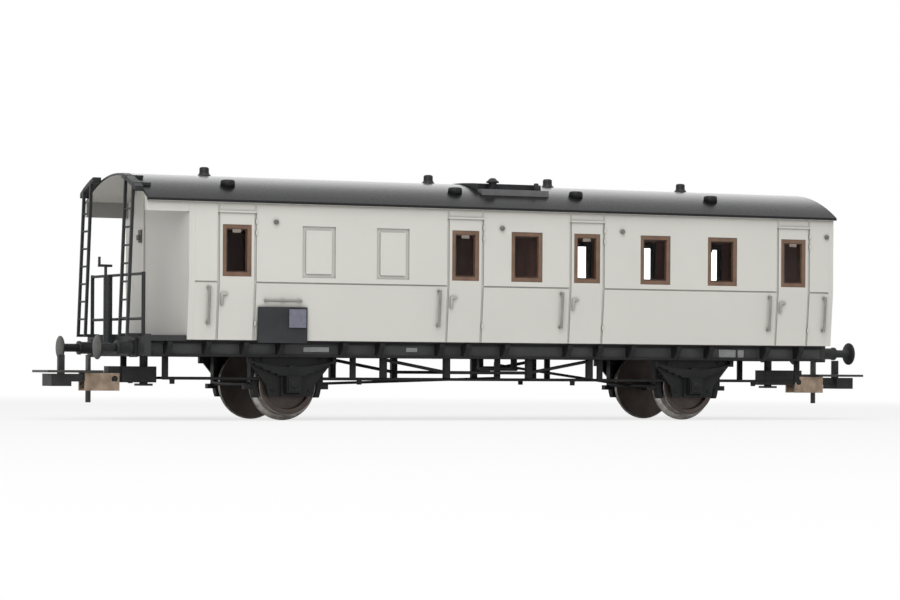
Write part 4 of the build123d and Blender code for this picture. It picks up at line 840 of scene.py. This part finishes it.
# Studio
# A wide floor that looks white and takes the shadow, a soft lamp above, a softer one in front
# and a weak one behind, in a white room.
FLOOR_SPAN, SHADOW_REACH = 6.0, (0.2, 0.55)
FLOOR_GLOW, FILL_LIGHT = 0.72, 0.36
WHITE, FLOOR_TONE = (1.0, 1.0, 1.0, 1.0), (0.8, 0.8, 0.8, 1.0)
FLOOR_ROUGHNESS = 0.95
bpy.ops.object.select_all(action="DESELECT")
bpy.ops.mesh.primitive_plane_add(size=FLOOR_SPAN, location=(0, 0, 0))
studio_floor = bpy.context.object
studio_floor.name = "studio_floor"
white_floor, floor_tree, floor_shader = new_material("white_floor")
floor_shader.inputs["Base Color"].default_value = FLOOR_TONE
floor_shader.inputs["Roughness"].default_value = FLOOR_ROUGHNESS
floor_shader.inputs["Specular IOR Level"].default_value = 0.0
glow = floor_tree.nodes.new("ShaderNodeEmission")
floor_path = floor_tree.nodes.new("ShaderNodeLightPath")
floor_place = floor_tree.nodes.new("ShaderNodeTexCoord")
distance = floor_tree.nodes.new("ShaderNodeVectorMath")
distance.operation = "LENGTH"
floor_tree.links.new(floor_place.outputs["Object"], distance.inputs[0])
fade = floor_tree.nodes.new("ShaderNodeMapRange")
fade.interpolation_type = "SMOOTHSTEP"
fade.inputs["From Min"].default_value = SHADOW_REACH[0]
fade.inputs["From Max"].default_value = SHADOW_REACH[1]
fade.inputs["To Min"].default_value = FLOOR_GLOW
floor_tree.links.new(distance.outputs["Value"], fade.inputs["Value"])
glow_share = combine(floor_tree, "MULTIPLY", fade.outputs["Result"], floor_path.outputs["Is Camera Ray"])
whiten = floor_tree.nodes.new("ShaderNodeMixShader")
floor_tree.links.new(glow_share, whiten.inputs["Fac"])
floor_tree.links.new(floor_shader.outputs["BSDF"], whiten.inputs[1])
floor_tree.links.new(glow.outputs["Emission"], whiten.inputs[2])
floor_tree.links.new(whiten.outputs["Shader"], floor_tree.nodes["Material Output"].inputs["Surface"])
studio_floor.data.materials.append(white_floor)

world = bpy.data.worlds.new("studio")
bpy.context.scene.world = world
world.use_nodes = True
sky = world.node_tree
backdrop = sky.nodes["Background"]
backdrop.inputs["Color"].default_value = WHITE
rays = sky.nodes.new("ShaderNodeLightPath")
mirrored = combine(sky, "MAXIMUM", rays.outputs["Is Camera Ray"], rays.outputs["Is Glossy Ray"])
seen = combine(sky, "MAXIMUM", mirrored, rays.outputs["Is Transmission Ray"])
level = sky.nodes.new("ShaderNodeMapRange")
level.inputs["To Min"].default_value = FILL_LIGHT
level.inputs["To Max"].default_value = 1.0
sky.links.new(seen, level.inputs["Value"])
sky.links.new(level.outputs["Result"], backdrop.inputs["Strength"])

# Each row: name, place, point aimed at, side of the square lamp, power in watts
LAMPS = (
    ("lamp_above", (-0.15, -0.35, 0.75), (0, 0, 0.02), 0.7, 4.1),
    ("lamp_front", (-0.6, -0.7, 0.35), (0, 0, 0.02), 0.5, 2.7),
    ("lamp_back", (0.5, 0.85, 0.3), (0, 0, 0.03), 0.7, 1.8),
)
for name, place, aim, size, power in LAMPS:
    light = bpy.data.lights.new(name, "AREA")
    light.size = size
    light.energy = power
    lamp = bpy.data.objects.new(name, light)
    bpy.context.scene.collection.objects.link(lamp)
    lamp.location = place
    toward = Vector(aim) - Vector(place)
    lamp.rotation_euler = toward.to_track_quat("-Z", "Y").to_euler()

# Camera
# It stands just above the floor and looks level, turned a little from the side of the car
# and held a third of a degree out of level.
CAMERA_PLACE = (-0.26624, -0.5436, 0.00907)
CAMERA_TURN, CAMERA_ROLL = 25.731, 0.345
IMAGE_WIDTH, FOCAL_PIXELS, HORIZON_DROP = 900, 3204.7, 71.09
SENSOR_WIDTH, NEAREST = 36.0, 0.01
lens = bpy.data.cameras.new("camera")
lens.sensor_width = SENSOR_WIDTH
lens.lens = FOCAL_PIXELS / IMAGE_WIDTH * SENSOR_WIDTH
lens.shift_y = HORIZON_DROP / IMAGE_WIDTH
lens.clip_start = NEAREST
camera = bpy.data.objects.new("camera", lens)
bpy.context.scene.collection.objects.link(camera)
camera.location = CAMERA_PLACE
camera.rotation_euler = (math.radians(90), -math.radians(CAMERA_ROLL), -math.radians(CAMERA_TURN))
bpy.context.scene.camera = camera
bpy.context.scene.view_settings.view_transform = "Standard"
